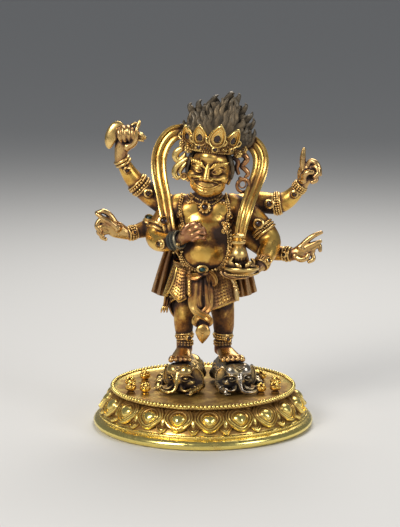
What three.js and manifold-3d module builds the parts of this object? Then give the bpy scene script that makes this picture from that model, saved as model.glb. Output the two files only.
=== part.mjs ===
// A six-armed protector deity in gilt copper alloy, standing on two elephant-headed figures over a
// round lotus base with eight small offering cups. Millimetres, +Z up, the figure looks along -Y.
// The origin is the middle of the base's underside.
import * as THREE from "three";
import { mergeVertices } from "three/addons/utils/BufferGeometryUtils.js";
import Module from "manifold-3d";

const wasm = await Module();
wasm.setup();

// Driving dimensions.
const BASE_RADIUS = 55; // widest point of the foot moulding
const FOOT_HEIGHT = 5.4; // foot moulding, up to the petals
const BASE_HEIGHT = 18.6; // underside to the top plate
const RIM_RADIUS = 46; // outside of the rim round the top plate
const RIM_WIDTH = 2.2;
const RIM_RISE = 1.3; // rim above the top plate
const WAIST_RADIUS = 43.6; // under the rim, where the petals start
const PETALS = 20;
const PETAL_BULGE = 3.1;
const ELEPHANT_HEIGHT = 15.3;
const FIGURE_HEIGHT = 131.5; // soles to the highest flame
const CUP_HEIGHT = 5.6;
const CUP_RADIUS = 2.3;
const CUP_PLACES = [[29.3, 10], [36.2, -2.5], [35.6, -14.5], [28.4, -16.5]]; // on the left, mirrored
const SEAT_GAP = 0.3; // between two pieces that stand on each other

// Where the pieces stand.
const ELEPHANT_FLOOR = BASE_HEIGHT + SEAT_GAP;
const SOLE = ELEPHANT_FLOOR + ELEPHANT_HEIGHT + SEAT_GAP;
const FIGURE_SCALE = FIGURE_HEIGHT / 131.5; // the figure's own numbers below are true at 131.5 tall
const ELEPHANT_SCALE = ELEPHANT_HEIGHT / 15.3; // and the elephants' at 15.3

const GILT = { color: 0xd9a441, roughness: 0.28, metalness: 1 };
const WORN_GILT = { color: 0xb98a3c, roughness: 0.34, metalness: 1 };
const DARK_BRONZE = { color: 0x6f6350, roughness: 0.38, metalness: 1 };

const vec = (p) => new THREE.Vector3(p[0], p[1], p[2]);

// A closed three.js geometry as a solid.
function solid(geometry) {
  const bare = geometry.clone();
  for (const name of Object.keys(bare.attributes)) {
    if (name !== "position") bare.deleteAttribute(name);
  }
  const merged = mergeVertices(bare, 1e-4);
  const made = new wasm.Manifold(
    new wasm.Mesh({
      numProp: 3,
      vertProperties: new Float32Array(merged.attributes.position.array),
      triVerts: new Uint32Array(merged.index.array),
    }),
  );
  return made;
}

// A solid as a named mesh.
function piece(name, shape, finish) {
  const { numProp, numVert, vertProperties, triVerts } = shape.getMesh();
  const positions = new Float32Array(numVert * 3);
  for (let i = 0; i < numVert; i++) {
    positions.set(vertProperties.subarray(i * numProp, i * numProp + 3), i * 3);
  }
  const geometry = new THREE.BufferGeometry();
  geometry.setAttribute("position", new THREE.BufferAttribute(positions, 3));
  geometry.setIndex(new THREE.BufferAttribute(new Uint32Array(triVerts), 1));
  geometry.computeVertexNormals();
  const mesh = new THREE.Mesh(geometry, new THREE.MeshStandardMaterial(finish));
  mesh.name = name;
  return mesh;
}

const join = (solids) => wasm.Manifold.union(solids);

// The same solid with any sealed hollow filled.
const filled = (shape) => shape.decompose().sort((a, b) => b.volume() - a.volume())[0];

// Moves each point of a geometry by a function of its place.
function shaped(geometry, move) {
  const at = geometry.attributes.position;
  for (let i = 0; i < at.count; i++) {
    const p = move(new THREE.Vector3().fromBufferAttribute(at, i));
    at.setXYZ(i, p.x, p.y, p.z);
  }
  return geometry;
}

// An ellipsoid with its pole upright, turned by three angles in degrees.
function ball(at, radii, turn = [0, 0, 0], sides = 7, rows = 4) {
  const g = new THREE.SphereGeometry(1, sides, rows).rotateX(Math.PI / 2);
  g.scale(radii[0], radii[1], radii[2]);
  const [x, y, z] = turn.map(THREE.MathUtils.degToRad);
  g.rotateX(x).rotateY(y).rotateZ(z);
  return solid(g.translate(at[0], at[1], at[2]));
}

// A limb: a round or oval tube through stations [x, y, z, half width, half depth], with domed ends.
// The depth lies along the face direction, the width across it.
function limb(stations, { sides = 7, rings = 0, face = [0, 1, 0], dome = 0.6 } = {}) {
  const line = new THREE.CatmullRomCurve3(stations.map(vec));
  const sizes = new THREE.CatmullRomCurve3(
    stations.map((s) => vec([s[3], s[4] ?? s[3], 0])),
  );
  const count = rings || stations.length;
  const rows = count + 1;
  const g = new THREE.SphereGeometry(1, sides, rows);
  const at = g.attributes.position;
  const perRow = sides + 1;
  for (let i = 0; i < at.count; i++) {
    const row = Math.floor(i / perRow);
    const step = THREE.MathUtils.clamp((row - 1) / (count - 1), 0, 1);
    const middle = line.getPoint(step);
    const size = sizes.getPoint(step);
    const along = line.getTangent(step);
    const across = new THREE.Vector3().crossVectors(along, vec(face)).normalize();
    const deep = new THREE.Vector3().crossVectors(across, along).normalize();
    if (row === 0 || row === rows) {
      middle.addScaledVector(along, (row ? 1 : -1) * Math.min(size.x, size.y) * dome);
    } else {
      const angle = ((i % perRow) % sides) * ((2 * Math.PI) / sides);
      middle.addScaledVector(across, Math.cos(angle) * size.x);
      middle.addScaledVector(deep, Math.sin(angle) * size.y);
    }
    at.setXYZ(i, middle.x, middle.y, middle.z);
  }
  return solid(g);
}

// A band round a limb: its middle, the way the limb runs, its radius and its width.
function band(at, along, radius, width = 2.2, sides = 6) {
  const g = new THREE.CylinderGeometry(radius, radius, width, sides);
  const turn = new THREE.Quaternion().setFromUnitVectors(
    vec([0, 1, 0]),
    vec(along).normalize(),
  );
  return solid(g.applyQuaternion(turn).translate(at[0], at[1], at[2]));
}

// A thin plate: place(u, v) gives its middle surface for u and v from -0.5 to 0.5.
function plate(place, across, along, thickness) {
  const step = 1e-3;
  return solid(
    shaped(new THREE.BoxGeometry(1, 1, 1, across, along, 1), (p) => {
      const middle = place(p.x, p.y);
      const du = place(p.x + step, p.y).sub(middle);
      const dv = place(p.x, p.y + step).sub(middle);
      return middle.addScaledVector(du.cross(dv).normalize(), p.z * thickness);
    }),
  );
}

// A box, used to cut flat faces.
function block(low, high) {
  const size = vec(high).sub(vec(low));
  const g = new THREE.BoxGeometry(size.x, size.y, size.z);
  const middle = vec(low).addScaledVector(size, 0.5);
  return solid(g.translate(middle.x, middle.y, middle.z));
}

// The lotus base: a turned body with a foot moulding and a raised rim, and a ring of petals.
function lotusBase() {
  const profile = [
    [0, 0],
    [BASE_RADIUS - 1, 0],
    [BASE_RADIUS, FOOT_HEIGHT * 0.4],
    [BASE_RADIUS - 2.4, FOOT_HEIGHT * 0.92],
    [BASE_RADIUS - 2.2, FOOT_HEIGHT * 1.15],
    [WAIST_RADIUS, BASE_HEIGHT - 1.6],
    [RIM_RADIUS, BASE_HEIGHT - 0.4],
    [RIM_RADIUS - 0.2, BASE_HEIGHT + RIM_RISE],
    [RIM_RADIUS - RIM_WIDTH, BASE_HEIGHT + RIM_RISE * 0.6],
    [RIM_RADIUS - RIM_WIDTH, BASE_HEIGHT],
    [0, BASE_HEIGHT],
  ].map(([r, z]) => new THREE.Vector2(r, z));
  const body = solid(new THREE.LatheGeometry(profile, PETALS * 2).rotateX(Math.PI / 2));
  const low = FOOT_HEIGHT * 1.3;
  const high = BASE_HEIGHT - 1.2;
  const bottomRadius = BASE_RADIUS - 3.6;
  const halfWidth = ((Math.PI * bottomRadius) / PETALS) * 1.12;
  const slope = Math.atan2(bottomRadius - WAIST_RADIUS, high - low);
  const petals = [];
  for (let i = 0; i < PETALS; i++) {
    const g = shaped(new THREE.SphereGeometry(1, 6, 3).rotateX(Math.PI / 2).rotateZ(Math.PI / 6), (p) => vec([
      p.x * halfWidth * (p.y < 0 ? 1 : 1 - 0.14 * p.y),
      p.y * ((high - low) / 2) * 1.26,
      p.z * PETAL_BULGE + (p.y < 0 ? PETAL_BULGE * 0.4 * p.y * p.y : 0),
    ]));
    g.rotateX(Math.PI / 2 - slope);
    g.translate(0, -(WAIST_RADIUS + bottomRadius) / 2, (high + low) / 2);
    g.rotateZ(((i + 0.2) * 2 * Math.PI) / PETALS);
    petals.push(solid(g));
  }
  return join([body, ...petals]);
}

// One elephant-headed figure lying under a foot. The trunk curls outwards, to -X before mirroring.
function elephant(turnOut) {
  const head = [0, -13.5, 8.2];
  const parts = [
    ball(head, [7, 6.6, 7.4], [0, 0, 0], 8, 6),
    ball([-0.5, -1, 7.2], [8.2, 12.5, 7.4], [0, 0, 0], 8, 5),
    limb([[-0.5, -17, 9, 2.8], [-1.2, -21.8, 5.4, 2.1], [-3.6, -24, 2.3, 1.7],
      [-7.4, -24.2, 1.5, 1.4], [-10, -23.2, 3.4, 1.1]], { sides: 5 }),
    ball([-8.2, -12.4, 8], [1.3, 4, 4.8], [0, -14, 28], 5, 4),
    ball([7.8, -12.4, 8], [1.3, 4, 4.8], [0, 14, -28], 5, 4),
    limb([[5, -9, 4, 3], [8, -15, 2.6, 2.3], [7.4, -20, 1.6, 1.6]], { sides: 4 }),
    limb([[-4, 6, 4.6, 3.8], [-11, 8, 3.6, 2.8], [-15, 4, 2, 1.9]], { sides: 4 }),
    limb([[2, 7, 4.6, 3.8], [3.6, 12, 3.4, 2.8], [1.6, 16, 2, 1.9]], { sides: 4 }),
  ];
  const spread = BASE_RADIUS;
  return filled(join(parts))
    .scale([ELEPHANT_SCALE, ELEPHANT_SCALE, ELEPHANT_SCALE])
    .subtract(block([-spread, -spread, ELEPHANT_HEIGHT], [spread, spread, ELEPHANT_HEIGHT * 2]))
    .subtract(block([-spread, -spread, -ELEPHANT_HEIGHT], [spread, spread, 0]))
    .rotate([0, 0, turnOut]);
}

// One offering cup: a waisted stem and a round bowl whose lip rises in three prongs.
function offeringCup() {
  const sides = 6;
  const stem = [
    [0, 0],
    [CUP_RADIUS * 0.8, 0],
    [CUP_RADIUS * 0.4, CUP_HEIGHT * 0.24],
    [CUP_RADIUS, CUP_HEIGHT * 0.55],
    [CUP_RADIUS * 0.9, CUP_HEIGHT * 0.84],
    [0, CUP_HEIGHT * 0.6],
  ].map(([r, z]) => new THREE.Vector2(r, z));
  const lip = stem.length - 2;
  const g = new THREE.LatheGeometry(stem, sides).rotateX(Math.PI / 2);
  const at = g.attributes.position;
  for (let i = 0; i < at.count; i++) {
    const side = Math.floor(i / stem.length) % sides;
    if (i % stem.length === lip && side % 2) at.setZ(i, CUP_HEIGHT);
  }
  return solid(g);
}

// Below, the figure's numbers are heights above the soles and hold at its drawn height.

// Chest, belly and hips: [x, y, z, half width, half depth, half height].
const CHEST = [1.5, 0.5, 71.5, 14.5, 9, 11.5];
const BELLY = [1, -4, 54, 13, 12.5, 12.5];
const HIPS = [1.5, 1.5, 40, 13.5, 10, 10];

// The torso's front surface at a place, for what lies on it.
function frontOf(x, z) {
  const reach = [CHEST, BELLY, HIPS].map(([cx, cy, cz, rx, ry, rz]) => {
    const inside = 1 - ((x - cx) / rx) ** 2 - ((z - cz) / rz) ** 2;
    return inside > 0 ? cy - ry * Math.sqrt(inside) : Infinity;
  });
  return Math.min(...reach, -2);
}

function torso() {
  const lumps = [CHEST, BELLY].map(([x, y, z, rx, ry, rz]) =>
    ball([x, y, z], [rx, ry, rz], [0, 0, 0], 9, 5));
  return [
    ...lumps,
    ball([-4.6, -5.6, 72], [6.4, 3.8, 5]),
    ball([7.8, -5.6, 72], [6.4, 3.8, 5]),
    limb([[2, 0, 76, 6.6], [3, -1, 83, 6.2]], { sides: 6 }),
  ];
}

// Arms as stations from the shoulder to the wrist, and how each hand is held: the way the palm
// runs, the way it faces, the side its thumb is on and the bends of its fingers, thumb first.
const OPEN = [10, 8];
const CURLED = [74, 92];
const HALF = [46, 50];
const ARMS = [
  {
    line: [[-10, 6, 70, 6.2], [-20, 7, 76, 5.7], [-29, 6.5, 82.5, 5.5], [-35.5, 5.5, 89.5, 4.6],
      [-40.2, 4, 98, 3.4]],
    along: [0.12, -0.1, 1], palm: [0, -1, 0], thumb: [1, 0, 0],
    fingers: [[25, 25], HALF, HALF, HALF, HALF], bands: [0.42, 0.97],
  },
  {
    line: [[-9, 7, 68, 6], [-19, 7, 66, 5.4], [-27, 5, 63.5, 4.7], [-36, 1, 61.4, 3.3]],
    along: [-0.9, -0.25, 0.3], palm: [0.3, -1, 0.1], thumb: [0, 0, 1],
    fingers: [[50, 20], [-48, -12], CURLED], bands: [0.56, 0.97],
  },
  {
    line: [[13, 6, 73, 6.2], [26, 7, 76, 5.4], [36.5, 6, 75.5, 5.3], [43, 5.5, 78.5, 4.4],
      [48.4, 4, 85, 3.3]],
    along: [0.2, -0.12, 1], palm: [0, -1, 0], thumb: [-1, 0, 0],
    fingers: [[35, 40], OPEN, CURLED], bands: [0.5, 0.97],
  },
  {
    line: [[12, 7, 66, 6], [24, 8, 57.5, 5], [33, 5, 51.8, 4.3], [43.6, 0, 51, 3.2]],
    along: [0.85, -0.3, 0.35], palm: [0, -1, 0.2], thumb: [0, 0, 1],
    fingers: [[20, 20], [-12, -8], HALF], bands: [0.97],
  },
  {
    line: [[-13, 1, 74, 6.8], [-20, -1, 67, 5.7], [-22.5, -5, 59.5, 5.4], [-17.5, -12, 59.4, 4.5],
      [-12, -17, 61, 3.4]],
    along: [0.95, -0.2, 0.22], palm: [0.2, 0.95, -0.1], thumb: [-0.3, 0.1, 0.9],
    fingers: [[30, 30], HALF, HALF], bands: [0.4, 0.97],
  },
  {
    line: [[16, 1, 74, 6.8], [25.5, -1, 68.5, 5.5], [33, -4, 59, 5.2], [31.5, -11, 53.5, 4.3],
      [28, -17, 48.6, 3.3]],
    along: [-0.9, -0.4, -0.2], palm: [0, 0, 1], thumb: [0.3, -1, 0],
    fingers: [[30, 30], HALF, HALF], bands: [0.42, 0.97],
  },
];
const PALM_LENGTH = 8.8;
const FINGER_BONES = [4.4, 4];
const FINGER_ROOTS = [[3.2, 0.94], [1.15, 1], [-1, 0.95], [-3, 0.82]]; // place across, length
const TOGETHER_ROOTS = [[3.2, 0.94], [-0.9, 0.94, 2.5]]; // three fingers curled as one roll

// One finger from its root, bending towards the palm by the given angles.
function finger(root, along, palm, bends, bones, wide = 1) {
  const stations = [[...root.toArray(), 1.25 * wide, 1.25]];
  const at = root.clone();
  let angle = 0;
  bends.forEach((bend, i) => {
    angle += THREE.MathUtils.degToRad(bend);
    at.addScaledVector(along, Math.cos(angle) * bones[i]);
    at.addScaledVector(palm, Math.sin(angle) * bones[i]);
    stations.push([...at.toArray(), (1.15 - 0.12 * i) * wide, 1.15 - 0.12 * i]);
  });
  const inward = along.clone().addScaledVector(palm, -1);
  return limb(stations, { sides: 4, face: inward.toArray(), dome: 0.5 });
}

function hand(arm) {
  const wrist = vec(arm.line.at(-1));
  const along = vec(arm.along).normalize();
  const palm = vec(arm.palm);
  palm.addScaledVector(along, -palm.dot(along)).normalize();
  const side = new THREE.Vector3().crossVectors(along, palm);
  if (side.dot(vec(arm.thumb)) < 0) side.negate();
  const spot = (across, up, out = 0) =>
    wrist.clone().addScaledVector(side, across).addScaledVector(along, up).addScaledVector(palm, out);
  const [thumb, ...rest] = arm.fingers;
  const parts = [
    limb(
      [
        [...spot(0, -0.5).toArray(), 3, 2.4],
        [...spot(0.2, PALM_LENGTH * 0.5).toArray(), 3.7, 2.2],
        [...spot(0.1, PALM_LENGTH).toArray(), 4, 1.7],
      ],
      { sides: 5, face: palm.toArray(), dome: 0.4 },
    ),
    ...rest.map((bends, i) => {
      const [across, size, wide] = rest.length < 4 ? TOGETHER_ROOTS[i] : FINGER_ROOTS[i];
      return finger(spot(across, PALM_LENGTH - 0.6), along, palm, bends,
        FINGER_BONES.map((bone) => bone * size), wide);
    }),
  ];
  const thumbWay = along.clone().addScaledVector(side, 0.75).normalize();
  parts.push(finger(spot(3, 2.2, 0.6), thumbWay, palm, thumb, [3.8, 3.2]));
  return join(parts);
}

// Armlets and bracelets: a ring on the arm at a share of its length.
function armBands(arm) {
  const line = new THREE.CatmullRomCurve3(arm.line.map(vec));
  const sizes = new THREE.CatmullRomCurve3(arm.line.map((s) => vec([s[3], 0, 0])));
  return arm.bands.map((share) => {
    const at = line.getPoint(share).toArray();
    return band(at, line.getTangent(share).toArray(), sizes.getPoint(share).x + 0.9, 3);
  });
}

// What the hands still hold: a crescent knife, and a skull cup with a lidded vase standing in it.
function knife() {
  const crescent = new THREE.Shape();
  crescent.moveTo(2.6, 6.2);
  crescent.quadraticCurveTo(-3.4, 6.6, -5.4, 0.4);
  crescent.quadraticCurveTo(-5, -5.6, -1.4, -6.8);
  crescent.quadraticCurveTo(0.4, -0.6, 2.6, 6.2);
  const blade = new THREE.ExtrudeGeometry(crescent, {
    depth: 2.4, steps: 1, curveSegments: 3, bevelEnabled: false,
  });
  blade.rotateX(Math.PI / 2).translate(-43, 1.4, 109);
  return [
    solid(blade),
    limb([[-44, 0.2, 108.6, 1.5], [-34, 0, 109.2, 1.3]], { sides: 4 }),
    ball([-32.2, 0, 109.4], [3.2, 2.7, 2.7], [0, 0, 0], 7, 4),
    limb([[-32, 0.4, 111, 1.1], [-30.4, 0.2, 116.4, 0.9]], { sides: 4 }),
  ];
}

const SKULL_CUP = [18.6, -24, 47.2]; // middle of its mouth
function skullCup() {
  const wall = [
    [0, -4.8], [4.4, -4.2], [7.4, -2.2], [8.6, 0], [7.4, 0.4], [5.8, -1.8], [0, -2.4],
  ].map(([r, z]) => new THREE.Vector2(r, z));
  const vase = [
    [0, -3.2], [3.2, -3.2], [1.8, 1], [4.2, 4], [4, 6.6], [2, 8.6], [3.1, 9.8], [2.6, 11.6],
    [0, 12.6],
  ].map(([r, z]) => new THREE.Vector2(r, z));
  return [
    [wall, SKULL_CUP, 9],
    [vase, [SKULL_CUP[0] - 2, SKULL_CUP[1] + 1, SKULL_CUP[2] + 2.4], 7],
  ].map(([profile, at, sides]) =>
    solid(new THREE.LatheGeometry(profile, sides).rotateX(Math.PI / 2).translate(...at)));
}

function legs() {
  const parts = [];
  const feet = [
    { hip: [-6, 1, 36], knee: [-9.6, -3, 22], ankle: [-9, -1.5, 8], toes: [-10, -12], fat: 0.96 },
    { hip: [7.6, 1, 36], knee: [10, -3, 22], ankle: [9.8, -1, 8], toes: [14, -11.6], fat: 1.07 },
  ];
  for (const { hip, knee, ankle, toes, fat } of feet) {
    const mid = (a, b, t) => a.map((v, i) => v + (b[i] - v) * t);
    parts.push(
      limb([
        [...hip, 7.4 * fat],
        [...mid(hip, knee, 0.6), 6.6 * fat],
        [...knee, 5.2 * fat],
        [...ankle, 3.5 * fat],
        [ankle[0], ankle[1], 3, 3.7 * fat],
      ], { sides: 6 }),
      band([ankle[0], ankle[1], ankle[2] + 1], [0, 0, 1], 4.4 * fat, 2.6, 6),
    );
    const heel = [ankle[0] - (toes[0] - ankle[0]) * 0.25, ankle[1] + 2.6, 1.8];
    parts.push(
      limb([
        [...heel, 3, 2.6],
        [...mid(heel, [...toes, 1.2], 0.45), 3.8, 2.9],
        [toes[0], toes[1] + 1.6, 1.1, 4.6, 1.7],
      ], { sides: 6, face: [0, 0, 1] }),
    );
    const outline = new THREE.Shape();
    outline.moveTo(-4.6, 3);
    for (let i = 0; i < 5; i++) {
      const left = (i - 2.5) * 1.95;
      const reach = -1.9 + 0.32 * Math.abs(i - 2);
      outline.lineTo(left + 0.2, reach + 0.9);
      outline.lineTo(left + 0.95, reach - 0.5);
    }
    outline.lineTo(4.9, 0);
    outline.lineTo(4.6, 3);
    const slab = new THREE.ExtrudeGeometry(outline, {
      depth: 2.1, steps: 1, bevelEnabled: false,
    });
    parts.push(solid(slab.translate(toes[0], toes[1], -0.2)));
  }
  return parts;
}

// The skin skirt: an oval flared wrap whose hem dips at the sides and rises to a slit in front.
function skirt() {
  const rows = [[46.5, 0.1], [45.5, 0.93], [38, 1], [0, 1.16], [1.4, 0.86], [36, 0.1]];
  const g = new THREE.SphereGeometry(1, 16, rows.length - 1);
  const at = g.attributes.position;
  for (let i = 0; i < at.count; i++) {
    const row = Math.floor(i / 17);
    const angle = (i % 17) * ((2 * Math.PI) / 16);
    const hem = 29.5 + 1.6 * Math.cos(3 * angle) - 2.4 * Math.sin(angle);
    const height = row === 3 || row === 4 ? hem + rows[row][0] : rows[row][0];
    const pole = row === 0 || row === rows.length - 1;
    const reach = pole ? 0 : rows[row][1] * (1 + 0.035 * Math.cos(8 * angle));
    at.setXYZ(i, 0.2 + Math.cos(angle) * 14.6 * reach, 0.6 + Math.sin(angle) * 11.6 * reach, height);
  }
  return solid(g);
}

// The mantle down the back, showing at both sides, with its flutes.
function mantle() {
  const low = 29;
  const high = 66;
  return plate((u, v) => {
    const drop = 0.5 - v;
    const half = 15 + 11.4 * Math.max(0, drop) ** 0.8;
    const x = 1.4 - 0.8 * drop + u * 2 * half;
    const hem = low + 3.4 * (2 * u) ** 2 - 2;
    const y = 11.5 - 6 * (2 * u) ** 2 + 0.7 * Math.cos(u * 25);
    return vec([x, y, high + (hem - high) * drop]);
  }, 12, 1, 2);
}

function sash() {
  return [
    ball([0, -13.4, 44], [3.2, 2.2, 2.4], [0, 0, 0], 6, 3),
    limb([[-1.5, -13, 43.5, 2, 1.2], [-5, -12.6, 40, 2.6, 1.2], [-4.4, -12.4, 34, 2.2, 1.2]],
      { sides: 5 }),
    limb([[1.5, -13, 43.5, 2, 1.2], [5.6, -12.4, 39, 2.8, 1.2], [4, -13, 30, 2.4, 1.2],
      [1.5, -13.5, 24, 2.4, 1]], { sides: 5 }),
    limb([[0, -13, 44, 2, 1.4], [-1.5, -12.6, 34, 3, 1.4], [1, -13.4, 26, 3.6, 1.4],
      [-1.5, -13.8, 21, 3.2, 1.2], [0, -13.8, 16.5, 3.3, 1], [-0.4, -14, 12.4, 0.6, 0.6]],
    { sides: 5, rings: 6 }),
    limb([[12.4, -5.4, 45, 1.4, 1.4], [14.6, -6.2, 38, 1.3, 1.3], [16.4, -6.8, 30.6, 1.7, 1.4]],
      { sides: 4 }),
    limb([[-17.4, 3, 33, 2.2, 1.4], [-15.6, 2, 26, 2, 1.4], [-13.4, 1.6, 20, 1.2, 1]],
      { sides: 4 }),
  ];
}

// A strand that lies on the torso through places [x, z].
function strand(places, thick) {
  return limb(places.map(([x, z]) => [x, frontOf(x, z), z, thick]), {
    sides: 4, rings: places.length - 1,
  });
}

function jewellery() {
  return [
    limb([[-5.6, -1, 82.5, 1.3], [-3.8, -5.6, 79.8, 1.5], [2.2, -8, 78, 1.6],
      [8.2, -5.6, 79.8, 1.5], [10, -1, 82.5, 1.3]], { sides: 4, rings: 7 }),
    strand([[-11, 78], [-10.9, 72], [-10.4, 65], [-11.4, 54], [-9.4, 49.5], [-5.4, 46], [0, 44.5]], 1.2),
    strand([[13, 78], [11, 72], [10.4, 64.5], [11.4, 59], [11.9, 53.5], [9.9, 49], [5.4, 46],
      [0, 44.5]], 1.2),
    ball([0.6, -7.6, 74.8], [1.9, 1.8, 1.9], [0, 0, 0], 6, 4),
    ball([9.9, frontOf(9.9, 64), 64.2], [2.2, 1.4, 2.2], [0, 0, 0], 6, 4),
    ball([-0.6, frontOf(-0.6, 45), 45.6], [2.2, 1.4, 1.9], [0, 0, 0], 6, 4),
  ];
}

// The head: a wrathful three-eyed face on a round skull, leaning a little to its left.
const HEAD = [3.2, -3, 92];
const HEAD_LEAN = 7;
const HEAD_TURN = -12;
function head() {
  const face = [
    ball([0, 0.6, 0], [10.2, 10.6, 11], [0, 0, 0], 9, 6),
    ball([-4.8, -7.2, -2.6], [3.4, 2.8, 2.6], [0, 0, 0], 6, 3),
    ball([4.8, -7.2, -2.6], [3.4, 2.8, 2.6], [0, 0, 0], 6, 3),
    ball([0, -10, -1.6], [2.1, 2, 1.8], [0, 0, 0], 5, 3),
    limb([[0, -9, 3.4, 1.1], [0, -10.6, -0.6, 1.2]], { sides: 4 }),
    ball([0, -6.4, -7.6], [4.2, 3, 2.8], [0, 0, 0], 6, 4),
    limb([[-4.4, -7.6, -5, 0.7], [0, -9.9, -4.4, 0.9], [4.4, -7.6, -5, 0.7]], { sides: 4 }),
    ball([0, -8.3, 6.4], [1, 1, 1.8], [0, 0, 0], 5, 3),
  ];
  for (const side of [-1, 1]) {
    face.push(
      ball([side * 4, -8.3, 1.8], [2, 1.6, 1.5], [0, 0, 0], 5, 3),
      limb([[side * 1.4, -9.6, 2.8, 0.8], [side * 4, -8.5, 4.6, 1], [side * 6.8, -6.4, 5.8, 0.7]],
        { sides: 4 }),
    );
  }
  return join(face).rotate([0, 0, HEAD_TURN]).rotate([0, HEAD_LEAN, 0]).translate(HEAD);
}

// The crown: a jewelled band with five pointed leaves, each with a raised setting.
const CROWN = [4.8, -1.6, 101.2];
const CROWN_LEAVES = [-90, -40, 10, 60, 110];
function crown() {
  const leafHeight = 14;
  const half = [[-1.8, 0], [-3.3, 4.4], [-2.3, 9]];
  const outline = new THREE.Shape(
    [...half, [0, leafHeight], ...half.map(([x, z]) => [-x, z]).reverse()].map(
      ([x, z]) => new THREE.Vector2(x, z),
    ),
  );
  const parts = [
    solid(new THREE.CylinderGeometry(12, 11.2, 3.2, 10).rotateX(Math.PI / 2)),
  ];
  for (const angle of CROWN_LEAVES) {
    const leaf = new THREE.ExtrudeGeometry(outline, {
      depth: 1.4, steps: 1, bevelEnabled: false,
    });
    leaf.rotateX(Math.PI / 2).translate(0, 0, 1);
    const pair = join([solid(leaf), ball([0, -1.5, 5.4], [1.5, 0.9, 2.2], [0, 0, 0], 4, 3)]);
    parts.push(pair.rotate([10, 0, 0]).translate([0, -10.8, 0]).rotate([0, 0, angle]));
  }
  return join(parts).rotate([0, HEAD_LEAN, 0]).translate(CROWN);
}

// The flame hair: a leaning fan of upswept locks on a core.
function hair() {
  const parts = [
    ball([7, 4, 110.5], [16.4, 8, 12.5], [0, 6, 0], 9, 6),
    ball([10.4, 5, 121], [10, 6.4, 7.6], [0, 14, 0], 7, 5),
  ];
  const locks = 8;
  for (let i = 0; i < locks; i++) {
    const angle = THREE.MathUtils.degToRad(-62 + 144 * ((i + 0.5) / locks));
    const lean = 0.5 + 0.5 * Math.cos(angle - 0.42);
    const far = 18 + 10.4 * lean ** 3;
    const at = (r, swing) => [
      7 + Math.sin(angle + swing) * r * 0.88,
      i % 2 ? 6.4 : 2.8,
      103 + Math.cos(angle + swing) * r,
    ];
    parts.push(limb([
      [...at(far * 0.45, 0), 4, 4.6],
      [...at(far * 0.8, 0.07), 3, 3.6],
      [...at(far, 0.04), 0.5, 0.7],
    ], { sides: 4 }));
  }
  return join(parts);
}

// Curling ribbons and round earrings at the ears.
function earPieces() {
  return [
    limb([[-5, -3, 101.4, 1.5], [-11.4, -3.4, 99.6, 1.4], [-13.2, -3.4, 96, 1.3],
      [-9.8, -3.4, 93.2, 1.3], [-13, -3.4, 90, 1.3], [-5.6, -3, 87.4, 1.2]], { sides: 4, rings: 8 }),
    limb([[15.6, 0, 99.4, 1.5], [21, 0, 96.6, 1.3], [18.2, 0, 93, 1.3], [20.4, 0, 89.6, 1.2],
      [12.4, 0, 88, 1.2]], { sides: 4, rings: 7 }),
    ball([-7.4, -3.6, 86.4], [2.6, 1.6, 2.6], [0, 0, 0], 5, 4),
    solid(new THREE.TorusGeometry(3.2, 1, 4, 7).rotateX(Math.PI / 2).translate(16, -1, 85.2)),
  ];
}

// The scarf: one fluted band behind the head, arching out and down in front of both shoulders.
function scarf() {
  const middle = [5, 10.5, 109];
  const left = [[-9.9, 9, 111], [-14.9, 8.5, 110], [-18.8, 8, 106], [-21.5, 7, 100.3], [-21.8, 6, 94.9],
    [-21, 3.5, 87.6], [-19.3, -1, 80.3], [-18.1, -5.6, 73.5], [-16.8, -8.4, 66.5], [-15.6, -9.6, 61]];
  const right = [[20, 9.5, 107.5], [25.8, 8.6, 104], [28.4, 7.8, 98.5], [28, 6.6, 92.3],
    [25.2, 3.6, 85.5], [21.8, -1, 77.7], [19, -5.4, 69], [17.8, -8, 61]];
  const widthAt = (i, n) => 3.7 - 1.2 * (i / n) ** 2;
  return [left, right].map((side) =>
    limb([[...middle, 3, 1.3],
      ...side.map((p, i) => [...p, widthAt(i, side.length), 1.3])],
    { sides: 5, rings: side.length }));
}

function figure() {
  const body = join([
    ...torso(),
    ...ARMS.map((arm) => limb(arm.line, { sides: 6 })),
    ...ARMS.map(hand),
    ...ARMS.flatMap(armBands),
    ...knife(),
    ...skullCup(),
    ...legs(),
    skirt(),
    mantle(),
    ...sash(),
    ...jewellery(),
    head(),
    crown(),
    hair(),
    ...earPieces(),
    ...scarf(),
  ]);
  const wide = 90;
  return filled(body)
    .subtract(block([-wide, -wide, -20], [wide, wide, 0]))
    .scale([FIGURE_SCALE, FIGURE_SCALE, FIGURE_SCALE])
    .translate([0, 0, SOLE]);
}

const mahakala = new THREE.Group();
mahakala.add(piece("lotus_base", lotusBase(), GILT));

// The elephants lie under the feet, so they follow the figure's stance.
const STANCE = { right: [-7.4, 0.5, -10], left: [13, 0.5, -14] }; // and the turn outwards
for (const [side, [x, y, turn]] of Object.entries(STANCE)) {
  const shape = side === "right" ? elephant(turn) : elephant(turn).mirror([1, 0, 0]);
  const mesh = piece(`elephant_${side}`, shape, DARK_BRONZE);
  mesh.position.set(x * FIGURE_SCALE, y * FIGURE_SCALE, ELEPHANT_FLOOR);
  mahakala.add(mesh);
}

[-1, 1].forEach((side, half) => {
  CUP_PLACES.forEach(([x, y], i) => {
    const mesh = piece(`offering_cup_${half * CUP_PLACES.length + i + 1}`, offeringCup(), GILT);
    mesh.position.set(side * x, y, BASE_HEIGHT + SEAT_GAP);
    mahakala.add(mesh);
  });
});

mahakala.add(piece("figure", figure(), WORN_GILT));

export default mahakala;
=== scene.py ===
# Camera, floor and light. The figure is seen from a little above its waist through a long lens, so the
# camera stands 0.92 m away and looks 10 degrees down. The floor is plain and pale, under three soft studio
# lights.
import math
import random
import bpy
import bmesh
import numpy as np
from mathutils import Matrix, Vector, noise
from mathutils.bvhtree import BVHTree


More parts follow.
